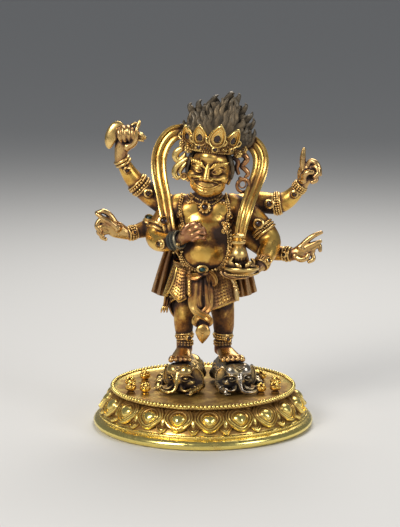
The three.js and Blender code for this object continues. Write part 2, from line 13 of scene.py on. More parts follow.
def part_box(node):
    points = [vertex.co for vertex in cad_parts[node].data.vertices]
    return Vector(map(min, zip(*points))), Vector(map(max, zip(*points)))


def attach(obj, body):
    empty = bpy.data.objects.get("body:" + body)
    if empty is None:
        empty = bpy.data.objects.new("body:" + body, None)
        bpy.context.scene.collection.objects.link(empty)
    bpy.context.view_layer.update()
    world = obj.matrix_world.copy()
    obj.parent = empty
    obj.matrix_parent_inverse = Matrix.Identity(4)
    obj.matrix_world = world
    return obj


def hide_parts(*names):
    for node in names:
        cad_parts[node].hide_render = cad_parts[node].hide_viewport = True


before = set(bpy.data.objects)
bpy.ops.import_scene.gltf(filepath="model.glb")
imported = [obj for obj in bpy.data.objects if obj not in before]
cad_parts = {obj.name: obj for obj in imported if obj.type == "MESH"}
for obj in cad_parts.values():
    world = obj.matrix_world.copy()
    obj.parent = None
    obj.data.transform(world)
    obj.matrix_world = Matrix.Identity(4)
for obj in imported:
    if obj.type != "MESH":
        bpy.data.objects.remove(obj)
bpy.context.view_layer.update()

bpy.ops.object.select_all(action="DESELECT")
bpy.ops.object.camera_add(location=(-0.0015, -0.920, 0.2458), rotation=(math.radians(79.84), 0, 0))
camera = bpy.context.object
camera.data.sensor_fit = "VERTICAL"
camera.data.sensor_height = 24
camera.data.lens = 85.94
bpy.context.scene.camera = camera
bpy.context.scene.view_settings.view_transform = "Standard"

bpy.ops.mesh.primitive_plane_add(size=40)
floor = bpy.context.object
floor.name = "studio_floor"
pale = bpy.data.materials.new("pale_floor")
pale.use_nodes = True
pale.node_tree.nodes["Principled BSDF"].inputs["Base Color"].default_value = (0.66, 0.65, 0.63, 1)
pale.node_tree.nodes["Principled BSDF"].inputs["Roughness"].default_value = 0.7
floor.data.materials.append(pale)

world = bpy.data.worlds.new("studio")
bpy.context.scene.world = world
world.use_nodes = True
world.node_tree.nodes["Background"].inputs["Color"].default_value = (0.80, 0.84, 0.90, 1)
world.node_tree.nodes["Background"].inputs["Strength"].default_value = 0.21
for place, size, power, tint in (
    ((-0.50, -0.62, 0.62), 0.36, 6.4, (1.0, 0.97, 0.92)),
    ((0.66, -0.50, 0.42), 0.30, 2.0, (0.95, 0.97, 1.0)),
    ((0.10, 0.42, 0.66), 0.50, 4.2, (1.0, 0.98, 0.95)),
):
    bpy.ops.object.light_add(type="AREA", location=place)
    lamp = bpy.context.object
    lamp.rotation_euler = (Vector((0, 0, 0.09)) - Vector(place)).to_track_quat("-Z", "Y").to_euler()
    lamp.data.shape = "SQUARE"
    lamp.data.size = size
    lamp.data.energy = power
    lamp.data.color = tint


# The lotus base. It is one hollow casting of copper alloy, fire-gilt: a rounded foot, a ring of twenty
# chased petals that point down, a smaller petal tip between each two, and a beaded rim round the flat top.
# Every piece here is drawn in millimetres and brought to metres when it is finished.
def only(*objects):
    """Selects these objects alone, the first one active."""
    bpy.ops.object.select_all(action="DESELECT")
    for o in objects:
        o.select_set(True)
    bpy.context.view_layer.objects.active = objects[0]
    return objects[0]


def cleared():
    """Selects nothing, so that the next primitive comes alone."""
    bpy.ops.object.select_all(action="DESELECT")


def joined(objects):
    """Several meshes made one."""
    o = only(*objects)
    if len(objects) > 1:
        bpy.ops.object.join()
    return o


def spun(profile, steps=64, sides_open=False):
    """A turned solid: a profile of (radius, height), first and last on the axis, spun all round."""
    cleared()
    bpy.ops.mesh.primitive_circle_add(vertices=len(profile), radius=1)
    o = bpy.context.object
    for v, (r, z) in zip(o.data.vertices, profile):
        v.co = (r, 0, z)
    bpy.ops.object.mode_set(mode="EDIT")
    if not sides_open:
        bm = bmesh.from_edit_mesh(o.data)
        bm.verts.ensure_lookup_table()
        ends = {bm.verts[0], bm.verts[len(profile) - 1]}
        bmesh.ops.delete(bm, geom=[e for e in bm.edges if set(e.verts) == ends], context="EDGES")
        bmesh.update_edit_mesh(o.data)
    bpy.ops.mesh.select_all(action="SELECT")
    bpy.ops.mesh.spin(steps=steps, angle=2 * math.pi, center=(0, 0, 0), axis=(0, 0, 1))
    bpy.ops.mesh.select_all(action="SELECT")
    bpy.ops.mesh.remove_doubles(threshold=1e-4)
    bpy.ops.mesh.normals_make_consistent(inside=False)
    bpy.ops.object.mode_set(mode="OBJECT")
    return o


def copies(pattern, places):
    """One mesh of copies of a pattern, each with its own vertices, at the given matrices."""
    mesh = pattern.data
    at = np.empty(len(mesh.vertices) * 3)
    mesh.vertices.foreach_get("co", at)
    at = np.c_[at.reshape(-1, 3), np.ones(len(mesh.vertices))]
    faces = [tuple(p.vertices) for p in mesh.polygons]
    points = [(at @ np.array(m).T)[:, :3] for m in places]
    step = len(mesh.vertices)
    made = bpy.data.meshes.new(pattern.name + "_row")
    made.from_pydata(
        np.concatenate(points).tolist(), [],
        [tuple(i + n * step for i in f) for n in range(len(places)) for f in faces])
    o = bpy.data.objects.new(made.name, made)
    bpy.context.scene.collection.objects.link(o)
    bpy.data.objects.remove(pattern)
    return o


def bead(sides=8, rows=6):
    """A ball of few faces, to be copied in rows."""
    cleared()
    bpy.ops.mesh.primitive_uv_sphere_add(segments=sides, ring_count=rows, radius=1)
    return bpy.context.object


def wheel(count, at, size):
    """Places round the axis, each turned with it, for copies of that size."""
    return [Matrix.Rotation(i * 2 * math.pi / count, 4, "Z") @ Matrix.Translation(at)
            @ Matrix.Diagonal((*size, 1)) for i in range(count)]


def twin(source):
    """A copy of a piece, with its own mesh."""
    o = source.copy()
    o.data = source.data.copy()
    bpy.context.scene.collection.objects.link(o)
    return o


def drawn_in(o, rings, middle=(0, 0)):
    """Raises a flat face ring by ring: each ring is a share of the outline, drawn in to the middle, and a
    height."""
    bpy.ops.object.mode_set(mode="EDIT")
    bpy.ops.mesh.select_mode(type="FACE")
    bpy.ops.mesh.select_all(action="SELECT")
    share, high = 1.0, 0.0
    for next_share, next_high in rings:
        bpy.ops.mesh.extrude_region_move(TRANSFORM_OT_translate={"value": (0, 0, next_high - high)})
        grow = next_share / share
        bpy.ops.transform.resize(value=(grow, grow, 1), center_override=(*middle, high))
        share, high = next_share, next_high
    bpy.ops.mesh.select_all(action="SELECT")
    bpy.ops.mesh.normals_make_consistent(inside=False)
    bpy.ops.object.mode_set(mode="OBJECT")
    return o


def modified(o, kind, **settings):
    """Adds one modifier and applies it."""
    only(o)
    modifier = o.modifiers.new(kind.lower(), kind)
    for key, value in settings.items():
        setattr(modifier, key, value)
    bpy.ops.object.modifier_apply(modifier=modifier.name)
    return o


def gilding(name, bright, worn, deep, patch=70.0, wear=0.56, rough=0.30, pits=0.08, start=0.34, full=0.80,
            dull=0.70):
    """Fire gilding on cast copper alloy: bright gold, thin reddish places, and a dark patina in the hollows
    with painted shade laid into it, which a piece carries as the attribute "patina_and_painted_shade": 0 on
    proud edges, 0.25 on the flat, 1 deep."""
    m = bpy.data.materials.new(name)
    m.use_nodes = True
    nodes, links = m.node_tree.nodes, m.node_tree.links
    shader = nodes["Principled BSDF"]
    place = nodes.new("ShaderNodeTexCoord")

    def grain(scale, detail=4.0, roughness=0.55):
        n = nodes.new("ShaderNodeTexNoise")
        n.inputs["Scale"].default_value = scale
        n.inputs["Detail"].default_value = detail
        n.inputs["Roughness"].default_value = roughness
        links.new(place.outputs["Object"], n.inputs["Vector"])
        return n.outputs["Fac"]

    def between(source, low, high, to_low=0.0, to_high=1.0):
        n = nodes.new("ShaderNodeMapRange")
        n.inputs["From Min"].default_value = low
        n.inputs["From Max"].default_value = high
        n.inputs["To Min"].default_value = to_low
        n.inputs["To Max"].default_value = to_high
        links.new(source, n.inputs["Value"])
        return n.outputs["Result"]

    def reckon(kind, a, b):
        n = nodes.new("ShaderNodeMath")
        n.operation = kind
        n.use_clamp = kind in ("ADD", "MULTIPLY_ADD")
        for socket, value in zip(n.inputs, (a, b)):
            if isinstance(value, (int, float)):
                socket.default_value = value
            else:
                links.new(value, socket)
        return n.outputs["Value"]

    def mixed(share, a, b):
        n = nodes.new("ShaderNodeMix")
        n.data_type = "RGBA"
        links.new(share, n.inputs["Factor"])
        for socket, value in zip((n.inputs[6], n.inputs[7]), (a, b)):
            if isinstance(value, tuple):
                socket.default_value = (*value, 1)
            else:
                links.new(value, socket)
        return n.outputs[2]

    # The attribute darkens the gold towards the deep colour: the real patina of the hollows, and painted
    # shade in the same value.
    hollow = nodes.new("ShaderNodeAttribute")
    hollow.attribute_name = "patina_and_painted_shade"
    grime_and_shade = reckon("ADD", hollow.outputs["Fac"], between(grain(150, 5.0, 0.6), 0.3, 0.7, -0.16, 0.16))
    grime_and_shade = reckon("ADD", grime_and_shade, between(grain(900, 4.0), 0.3, 0.7, -0.06, 0.06))
    dark = between(grime_and_shade, start, full)
    thin = between(grain(patch), wear, wear + 0.12)
    proud = between(hollow.outputs["Fac"], 0.22, 0.05, 0.0, 0.55)
    tone = mixed(thin, bright, worn)
    soft = mixed(between(grain(170), 0.35, 0.68, 0.0, dull), tone,
                 tuple(c * k for c, k in zip(bright, (0.80, 0.68, 0.56))))
    rubbed = mixed(proud, soft, tuple(min(1.0, c * 1.08 + 0.03) for c in bright))
    # Painted shade and patina first turn the gold a darker worn brown, then the deep colour.
    stained_and_shaded = mixed(between(dark, 0.0, 0.5), rubbed, tuple(0.62 * c for c in worn))
    links.new(mixed(between(dark, 0.35, 1.0), stained_and_shaded, deep), shader.inputs["Base Color"])
    links.new(between(dark, 0, 1, 1.0, 0.45), shader.inputs["Metallic"])
    even = reckon("ADD", between(grain(380), 0.3, 0.7, rough - 0.05, rough + 0.09),
                  between(dark, 0, 1, 0.0, 0.30))
    even = reckon("SUBTRACT", even, between(proud, 0, 1, 0.0, 0.12))
    links.new(reckon("ADD", even, between(thin, 0, 1, 0.0, 0.08)), shader.inputs["Roughness"])
    relief = nodes.new("ShaderNodeBump")
    relief.inputs["Strength"].default_value = pits
    relief.inputs["Distance"].default_value = 0.0006
    fine = reckon("ADD", reckon("MULTIPLY", grain(520, 3.0), 0.55),
                  reckon("MULTIPLY", grain(2200, 2.0), 0.2))
    links.new(reckon("ADD", fine, reckon("MULTIPLY", grain(190, 2.0), 0.9)), relief.inputs["Height"])
    links.new(relief.outputs["Normal"], shader.inputs["Normal"])
    return m


CREASE = math.radians(50)  # a sharper edge than this stays sharp


def finished(o, name, material, slot, *nodes, lift=0.0, share=1.0):
    """Names a piece drawn in millimetres, brings it to metres and ties it, in its metal, to the frame. A
    dense mesh keeps only that share of its faces, where its shape can spare the rest."""
    only(o)
    bpy.ops.object.transform_apply(location=True, rotation=True, scale=True)
    o.data.transform(Matrix.Scale(0.001, 4) @ Matrix.Translation((0, 0, lift)))
    o.name = name
    o.data.name = name
    o.data.materials.clear()
    o.data.materials.append(material)
    if share < 1:
        modified(o, "DECIMATE", ratio=share)
    bpy.ops.object.shade_smooth_by_angle(angle=CREASE)
    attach(o, "root")
    if nodes:
        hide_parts(*nodes)
    return o


base_gold = gilding("base_gilding", (1.0, 0.78, 0.24), (0.76, 0.43, 0.11), (0.07, 0.03, 0.012), wear=0.61,
                    rough=0.26, start=0.62, full=1.18, dull=0.25)

# The turned body, with the fine step and groove over the foot.
body = spun([
    (0, 0), (52.6, 0), (54.0, 0.5), (54.8, 1.5), (55, 2.4), (54.6, 3.5), (53.7, 4.3), (52.7, 4.8),
    (52.2, 4.9), (51.9, 5.3), (52.1, 5.8), (52.0, 6.3), (51.5, 6.6), (51.0, 6.7), (50.8, 7.2), (49.2, 9.0),
    (47.0, 11.6), (45.2, 14.0), (43.4, 16.2), (43.0, 17.0), (43.4, 17.5), (45.0, 17.8), (45.9, 18.2),
    (45.9, 18.9), (45.3, 19.15), (44.2, 18.9), (43.8, 18.6), (40, 18.6), (0, 18.6),
], steps=200)

# One petal: its outline is drawn in, ring by ring, as three sunk rims and a swelling boss.
PETALS = 20
PETAL_HALF = 7.75
rings = [(0.975, 1.0), (0.935, 1.5), (0.88, 1.5), (0.85, 0.7), (0.825, 0.65), (0.795, 1.15),
         (0.745, 1.45), (0.69, 1.35), (0.66, 0.6), (0.635, 0.55), (0.60, 1.0), (0.555, 1.35), (0.50, 1.2),
         (0.475, 0.75), (0.44, 1.2), (0.36, 1.8), (0.26, 2.15), (0.15, 2.35), (0.05, 2.45)]
cleared()
bpy.ops.mesh.primitive_circle_add(vertices=36, radius=1, fill_type="NGON")
petal = bpy.context.object
for v in petal.data.vertices:
    a = math.atan2(v.co.x, -v.co.y)  # 0 at the tip, which points down
    point = max(0.0, math.cos(a))
    v.co.x = math.sin(a) * PETAL_HALF * (1 - 0.20 * point ** 2)
    v.co.y = -math.cos(a) * (5.0 + 2.3 * point ** 3) if point else -math.cos(a) * 5.0
drawn_in(petal, rings, (0, -0.7))


def on_slope(source, turn, inward=0.0, narrow=1.0, lower=0.0, flat=1.0):
    """A petal laid on the base's flared side, turned about the axis."""
    o = twin(source)
    for v in o.data.vertices:
        down = (4.0 - v.co.y + lower) / 11.3  # 0 under the rim, 1 at the tip
        tip = max(0.0, down - 0.84)
        radius = 42.2 + 8.9 * down + 1.5 * math.sin(math.pi * min(1, max(0, down))) - inward
        out = v.co.z * flat + 5.0 * tip
        height = 17.2 - 9.7 * down + out * 0.62
        radius += out * 0.72
        a = turn + v.co.x * narrow / 48.6 * (1 - 0.10 * (0.5 - down))
        v.co = (math.sin(a) * radius, -math.cos(a) * radius, height)
    return o


turns = [(i + 0.2) * 2 * math.pi / PETALS for i in range(PETALS)]
petals = [on_slope(petal, a) for a in turns]
tips = [on_slope(petal, a + math.pi / PETALS, inward=1.3, narrow=0.62, lower=1.5, flat=0.75) for a in turns]
bpy.data.objects.remove(petal)
rim = copies(bead(), wheel(146, (45.35, 0, 19.2), (1.05, 0.94, 1.1)))
line = copies(bead(6, 4), wheel(420, (51.95, 0, 6.0), (0.34, 0.36, 0.34)))
base = joined([body, *petals, *tips, rim, line])
finished(base, "lotus_base_casting", base_gold, "base_gilt", "lotus_base")


# The eight offering cups. Each is a small gilt casting standing on the top: a flared foot, a round bowl
# with a turned lip, and a heaped offering of three buds round a taller one.
cup_gold = gilding("cup_gilding", (1.0, 0.68, 0.17), (0.74, 0.38, 0.07), (0.10, 0.04, 0.012), wear=0.62,
                   rough=0.24, start=0.42, full=1.0)
cup = spun([(0, 0), (2.0, 0), (2.05, 0.3), (1.5, 0.6), (1.2, 0.9), (1.5, 1.1), (2.2, 1.4), (2.6, 2.0),
            (2.72, 2.7), (2.6, 3.3), (2.35, 3.6), (2.2, 3.55), (1.8, 3.7), (0, 3.9)], steps=24)
buds = copies(bead(12, 8), [
    Matrix.Rotation(a, 4, "Z") @ Matrix.Translation((1.45, 0, 4.0)) @ Matrix.Diagonal((1.02, 1.02, 1.1, 1))
    for a in (0.4, 2.5, 4.6)] + [Matrix.Translation((0, 0, 4.8)) @ Matrix.Diagonal((0.8, 0.8, 0.9, 1))])
ring = copies(bead(6, 4), wheel(16, (2.5, 0, 3.35), (0.3, 0.4, 0.34)))
cup = joined([cup, buds, ring])
for i in range(8):
    low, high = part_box(f"offering_cup_{i + 1}")
    one = twin(cup)
    one.data.transform(Matrix.Translation(((low.x + high.x) * 500, (low.y + high.y) * 500, low.z * 1000))
                       @ Matrix.Rotation(i * 0.8, 4, "Z"))
    finished(one, f"offering_cup_casting_{i + 1}", cup_gold, "cup_gilt", f"offering_cup_{i + 1}")
bpy.data.objects.remove(cup)


# The two elephant-headed figures that lie under the feet. Each is a casting of its own, chemically darkened
# and then rubbed, with gilding left on brow, trunk, tusks and ornaments. They are modelled once and
# mirrored.
def unit(v):
    """The direction of a vector."""
    v = np.array(v, float)
    return v / np.linalg.norm(v)


def aimed(way):
    """A turn that points a piece's own height that way."""
    return Vector(way).to_track_quat("Z", "Y").to_matrix().to_4x4()


def smooth_line(stations, steps):
    """Places between stations on a smooth line; widths and depths are carried along."""
    p = np.array(stations, float)
    p = np.vstack([2 * p[0] - p[1], p, 2 * p[-1] - p[-2]])
    out = []
    for t in np.linspace(0, len(stations) - 1, steps):
        i = min(int(t), len(stations) - 2)
        f = t - i
        a, b, c, d = p[i:i + 4]
        out.append(0.5 * (2 * b + (c - a) * f + (2 * a - 5 * b + 4 * c - d) * f * f
                          + (3 * b - a - 3 * c + d) * f ** 3))
    return np.array(out)


def swept(stations, face=(0, -1, 0), outline=None, sides=12, steps=0, dome=0.7, ripple=0.0, waves=0):
    """A bar through stations (x, y, z, half width[, half depth]). A round or given outline is extruded ring
    by ring, then laid along a smooth line, its depth towards the face direction and its ends drawn in."""
    if outline is None:
        outline = [(math.cos(a), math.sin(a)) for a in np.linspace(0, 2 * math.pi, sides, endpoint=False)]
    line = smooth_line([tuple(s) if len(s) == 5 else (*s, s[3]) for s in stations],
                       steps or 4 * len(stations))
    if waves:
        line[:, 3:] *= (1 + ripple * np.sin(np.linspace(0, waves * 2 * math.pi, len(line))))[:, None]
    ends = [(1.0, 0.22), (0.8, 0.62), (0.45, 0.9)]
    first, last = line[0], line[-1]
    back, on = unit(first[:3] - line[1][:3]), unit(last[:3] - line[-2][:3])
    head = [[*(first[:3] + back * dome * first[4] * far), first[3] * k, first[4] * k] for far, k in ends]
    tail = [[*(last[:3] + on * dome * last[4] * far), last[3] * k, last[4] * k] for far, k in ends[::-1]]
    line = np.vstack([head, line, tail])
    cleared()
    bpy.ops.mesh.primitive_circle_add(vertices=len(outline), radius=1, fill_type="NGON")
    o = bpy.context.object
    for v, (x, y) in zip(o.data.vertices, outline):
        v.co = (x, y, 0)
    bpy.ops.object.mode_set(mode="EDIT")
    bpy.ops.mesh.select_all(action="SELECT")
    bpy.ops.mesh.extrude_repeat(steps=len(line) - 1, offset=(0, 0, 1))
    bpy.ops.object.mode_set(mode="OBJECT")
    middle = line[:, :3]
    along = np.gradient(middle, axis=0)
    along /= np.linalg.norm(along, axis=1)[:, None]
    across = np.cross(along, np.array(face, float))
    across /= np.linalg.norm(across, axis=1)[:, None]
    deep = np.cross(across, along)
    at = np.empty(len(o.data.vertices) * 3)
    o.data.vertices.foreach_get("co", at)
    at = at.reshape(-1, 3)
    ring = np.rint(at[:, 2]).astype(int)
    laid = (middle[ring] + across[ring] * (at[:, :1] * line[ring, 3:4])
            + deep[ring] * (at[:, 1:2] * line[ring, 4:5]))
    o.data.vertices.foreach_set("co", laid.ravel())
    bpy.ops.object.mode_set(mode="EDIT")
    bpy.ops.mesh.select_all(action="SELECT")
    bpy.ops.mesh.normals_make_consistent(inside=False)
    bpy.ops.object.mode_set(mode="OBJECT")
    return o


def ball(at, radii, turn=(0, 0, 0), sides=20, rows=12):
    """An ellipsoid, turned by three angles in degrees."""
    cleared()
    bpy.ops.mesh.primitive_uv_sphere_add(segments=sides, ring_count=rows, radius=1)
    o = bpy.context.object
    x, y, z = (math.radians(t) for t in turn)
    o.data.transform(Matrix.Translation(at) @ Matrix.Rotation(z, 4, "Z") @ Matrix.Rotation(y, 4, "Y")
                     @ Matrix.Rotation(x, 4, "X") @ Matrix.Diagonal((*radii, 1)))
    return o


def sided(side, stations):
    """The same stations on one side or, mirrored, on the other."""
    return [(side * x, *rest) for x, *rest in stations]


def ringed(at, along, radius, thick, flat=1.0, sides=28):
    """A closed ring round a place, its axis along a direction."""
    cleared()
    bpy.ops.mesh.primitive_torus_add(major_segments=sides, minor_segments=8, major_radius=radius,
                                     minor_radius=thick)
    o = bpy.context.object
    o.data.transform(Matrix.Translation(at) @ aimed(along) @ Matrix.Diagonal((1, 1, flat, 1)))
    return o


def fused(parts, grain, smooth):
    """Overlapping closed forms melted into one skin, as wax is, and smoothed."""
    o = joined(parts)
    modified(o, "REMESH", mode="VOXEL", voxel_size=grain)
    return modified(o, "SMOOTH", factor=0.5, iterations=smooth)


def surface(mesh, kind=float):
    """A mesh's points and the normals there, in rows."""
    at, way = np.empty(len(mesh.vertices) * 3, kind), np.empty(len(mesh.vertices) * 3, kind)
    mesh.vertices.foreach_get("co", at)
    mesh.vertex_normals.foreach_get("vector", way)
    return at.reshape(-1, 3), way.reshape(-1, 3)


def pressed(o, at, radius, depth):
    """Pushes the surface near a place in (or out, if the depth is negative) along its own normals."""
    mesh = o.data
    co, nor = surface(mesh)
    far = np.linalg.norm(co - np.array(at), axis=1) / radius
    co -= nor * (depth * np.exp(-(far * 1.8) ** 2) * (far < 1.6))[:, None]
    mesh.vertices.foreach_set("co", co.ravel())
    mesh.update()
    return o


silvered = gilding("dark_silvered_bronze", (0.44, 0.39, 0.32), (0.66, 0.50, 0.24), (0.026, 0.021, 0.022),
                   patch=130.0, wear=0.52, rough=0.26, start=0.33, full=0.76)
browned = gilding("dark_gilt_bronze", (0.70, 0.50, 0.17), (0.40, 0.27, 0.14), (0.035, 0.020, 0.016),
                  patch=130.0, wear=0.48, rough=0.26, start=0.34, full=0.78)
ELEPHANT_STANCE = {"right": (-7.4, 0.5, -10, 1), "left": (13, 0.5, -14, -1)}
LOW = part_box("elephant_right")[0].z * 1000
parts = [
    ball((0, -12.2, 8.2), (8.0, 7.4, 7.0)),
    ball((-2.6, -15.6, 10.6), (4.4, 4.0, 4.3)), ball((2.6, -15.6, 10.6), (4.4, 4.0, 4.3)),
    ball((0, -18.0, 7.0), (3.0, 2.6, 4.0)),
    ball((-4.2, -14.8, 5.6), (3.6, 3.2, 3.6)), ball((4.2, -14.8, 5.6), (3.6, 3.2, 3.6)),
    ball((0, -15.4, 10.6), (4.6, 4.2, 4.2)),
    ball((0.4, -17.4, 2.4), (3.0, 2.6, 1.8)),
    swept([(0, -17.4, 10.4, 2.4), (0.1, -19.6, 7.4, 1.5), (0.1, -20.8, 4.4, 1.05),
           (-0.8, -22.0, 2.0, 0.9), (-3.6, -22.8, 1.3, 0.9), (-6.8, -22.2, 1.5, 0.85),
           (-8.4, -21.0, 2.6, 0.8), (-8.0, -20.4, 3.9, 0.6)],
          steps=64, ripple=0.05, waves=20),
    ball((-0.5, -2, 6.9), (8.0, 12.0, 7.2)), ball((0, 5, 7.4), (7.4, 7.5, 7.6)),
    swept([(5.4, -8, 5.6, 3.0), (8.6, -12.6, 3.0, 2.3), (7.6, -17.6, 1.9, 1.5), (6.9, -19.6, 1.6, 1.5)]),
    swept([(-5.4, -6, 5.4, 3.0), (-11, -6, 3.6, 2.4), (-13.2, -10.4, 2.2, 1.6), (-13.2, -13, 1.8, 1.4)]),
    swept([(-4, 6, 4.8, 3.9), (-10.4, 8, 4.0, 3.0), (-14, 4, 2.3, 2.0), (-15.4, 0.6, 1.7, 1.6)]),
    swept([(2, 7, 5, 4.0), (4.2, 11.6, 3.8, 3.0), (2.0, 15, 2.3, 1.9)]),
]
for x, y in ((6.9, -20), (-13.2, -13.8), (-15.4, -0.8)):
    for i in range(4):  # toes
        parts.append(swept([(x + (i - 1.5) * 0.85, y + 0.8, 1.5, 0.55),
                            (x + (i - 1.5) * 0.95, y - 1.3, 0.8, 0.42)], sides=8, steps=4))
elephant = fused(parts, 0.30, 4)
for side in (-1, 1):
    pressed(elephant, (side * 3.9, -18.6, 7.6), 1.5, 0.3)
    pressed(elephant, (side * 6.6, -15.4, 8.6), 2.8, 2.2)
pressed(elephant, (0, -19.4, 12.6), 1.6, 1.0)
spots, out = surface(elephant.data)
for p, n in zip(spots, out):  # skin folds over the back and limbs, finer ones over the trunk and brow
    wander = noise.noise(p * 0.16) * 3.4
    over = min(1.0, max(0.1, (p[1] + 12) / 6))
    fold = abs(math.sin(p[1] * 0.85 + p[0] * 0.22 + wander)) ** 0.7 - 0.6
    p += n * (0.42 * over * fold + 0.06 * noise.noise(p * 1.1))
elephant.data.vertices.foreach_set("co", spots.ravel())
trim = []
for side in (-1, 1):
    ear = ball((0, 0, 0), (1, 1, 1), sides=28, rows=16)
    for v in ear.data.vertices:
        far = math.hypot(v.co.x, v.co.z)
        v.co.y = v.co.y * 0.42 - 0.9 * far ** 3 + 0.6
        v.co.x *= 2.7 + 0.25 * math.cos(4 * math.atan2(v.co.z, v.co.x))
        v.co.z *= 4.9
    spread_out = (Matrix.Rotation(math.radians(side * 40), 4, "Z")
                  @ Matrix.Rotation(math.radians(side * -14), 4, "Y"))
    ear.data.transform(Matrix.Translation((side * 8.2, -13.6, 8.2)) @ spread_out)
    rim = ringed((0, 0, 0), (0, 1, 0), 1.0, 0.15, sides=36)
    rim.data.transform(Matrix.Translation((side * 8.2, -13.9, 8.2)) @ spread_out
                       @ Matrix.Diagonal((2.6, 2.6, 4.8, 1)))
    trim += [ear, rim]
    for line, sides, steps in (  # tusk, brow and lower lid
        ([(1.8, -19.0, 4.4, 0.8), (3.4, -21.2, 3.0, 0.7), (5.8, -21.6, 2.6, 0.6), (7.8, -20.4, 3.8, 0.25)],
         10, 16),
        ([(1.8, -20.2, 8.8, 0.3), (3.6, -19.4, 9.7, 0.42), (5.8, -17.6, 9.4, 0.4), (7.2, -15.8, 8.2, 0.3)],
         8, 14),
        ([(2.2, -20.0, 7.6, 0.22), (4.0, -19.3, 6.8, 0.42), (5.8, -17.8, 7.2, 0.3)], 6, 10),
    ):
        trim.append(swept(sided(side, line), sides=sides, steps=steps))
    trim.append(ball((side * 4.2, -18.8, 8.1), (1.35, 0.9, 0.65), sides=12, rows=8))
    trim.append(swept(sided(side, [(0.8, -19.6, 2.6, 0.3), (3.4, -19.2, 1.7, 0.5),
                                   (6.0, -17.0, 2.6, 0.45), (7.2, -14.8, 4.4, 0.3)]), sides=8, steps=16))
trim += [ringed((7.9, -16.4, 2.2), (-0.1, -1, -0.2), 1.95, 0.36),
         ringed((-13.2, -11.4, 2.1), (0, -1, 0), 1.85, 0.34),
         ringed((-14.6, 3, 2.2), (-0.3, -1, 0), 2.2, 0.36),
         ringed((8.2, -12.2, 3.2), (0.5, -1, -0.6), 2.6, 0.36),
         ringed((0, -19.2, 12.2), (0, -1, 0.4), 0.9, 0.26),
         ball((0, -19.5, 12.3), (0.6, 0.5, 0.6), sides=10, rows=6)]
trim.append(copies(bead(8, 5), [
    Matrix.Translation((-0.4 + math.sin(a) * 6.6, -9.4 - 4.2 * math.cos(a) ** 2, 9.8 + math.cos(a) * 4.4))
    @ Matrix.Diagonal((0.55, 0.55, 0.55, 1)) for a in np.linspace(-1.9, 1.9, 25)]))
trim += [swept([(side * 3.8, -17.6, 13.0, 0.3), (side * 2.0, -19.0, 13.2, 0.42), (0, -19.3, 12.6, 0.42)],
               sides=6, steps=8) for side in (-1, 1)]
elephant = joined([elephant, *trim])
ELEPHANT_TOP = 15.2  # under the sole
for v in elephant.data.vertices:
    v.co.z = max(0.02, min(v.co.z, ELEPHANT_TOP))
HEAD_TURN = {"right": -14, "left": -3}
for side, (x, y, turn, way) in ELEPHANT_STANCE.items():
    one = twin(elephant)
    for v in one.data.vertices:  # the head is turned a little more than the body
        share = min(1.0, max(0.0, (-8.5 - v.co.y) / 5)) * math.radians(HEAD_TURN[side])
        dx, dy = v.co.x, v.co.y + 11
        v.co.x = dx * math.cos(share) - dy * math.sin(share)
        v.co.y = dx * math.sin(share) + dy * math.cos(share) - 11
    one.data.transform(Matrix.Translation((x, y, LOW)) @ Matrix.Diagonal((way, 1, 1, 1))
                       @ Matrix.Rotation(math.radians(turn), 4, "Z"))
    if way < 0:
        one.data.flip_normals()
    finished(one, f"elephant_headed_{side}", browned if side == "right" else silvered, "elephant_bronze",
             f"elephant_{side}", share=0.6)
bpy.data.objects.remove(elephant)


# The figure's body: chest, belly, six arms down to the wrists and two legs, cast in one with the rest of
# the figure and fire-gilt all over. Forms are laid over each other and melted into one skin, as in the wax.
# Heights are above the soles.
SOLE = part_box("figure")[0].z * 1000


def on_figure(o, name, metal, *nodes, share=1.0):
    """Finishes a piece of the figure, drawn from its soles up."""
    return finished(o, name, metal, "figure_gilt", *nodes, lift=SOLE, share=share)


figure_gold = gilding("figure_gilding", (0.88, 0.57, 0.14), (0.40, 0.17, 0.05), (0.045, 0.022, 0.014),
                      patch=120.0, wear=0.47, rough=0.33, pits=0.14)
CHEST = (1.5, 0.5, 71.5, 14.2, 9, 11.5)
BELLY = (1, -4, 54, 12.9, 12.4, 12.4)
HIPS = (1.5, 1.5, 40, 13.2, 9.6, 10)
ARM_LINES = {
    "right_upper": [(-6, 5, 70, 6.4), (-10, 6, 70, 6.3), (-20, 7, 76, 5.9), (-29, 6.5, 82.5, 5.3),
                    (-35.5, 5.5, 89.5, 4.3), (-40.2, 4, 98, 3.1)],
    "right_lower": [(-5, 5, 68, 6.2), (-9, 7, 68, 6.2), (-19, 7, 66, 5.5), (-27, 5, 63.5, 4.6),
                    (-36, 1, 61.4, 3.0)],
    "left_upper": [(8, 4, 72, 6.4), (13, 6, 73, 6.3), (26, 7, 76, 5.5), (36.5, 6, 75.5, 5.2),
                   (43, 5.5, 78.5, 4.3), (48.4, 4, 85, 3.0)],
    "left_lower": [(8, 5, 66, 6), (12, 7, 66, 6), (24, 8, 57.5, 5.1), (33, 5, 51.8, 4.3),
                   (43.6, 0, 51, 3.0)],
    "right_middle": [(-9, 1, 74, 6.4), (-13, 1, 74, 6.8), (-20, -1, 67, 5.9), (-22.8, -4.6, 60, 5.5),
                     (-18.4, -11.4, 59, 4.7), (-12, -17, 61, 3.2)],
    "left_middle": [(12, 1, 74, 6.4), (16, 1, 74, 6.8), (25.5, -1, 68.5, 5.7), (33, -4, 59, 5.3),
                    (31.5, -11, 53.5, 4.5), (28, -17, 48.6, 3.1)],
}
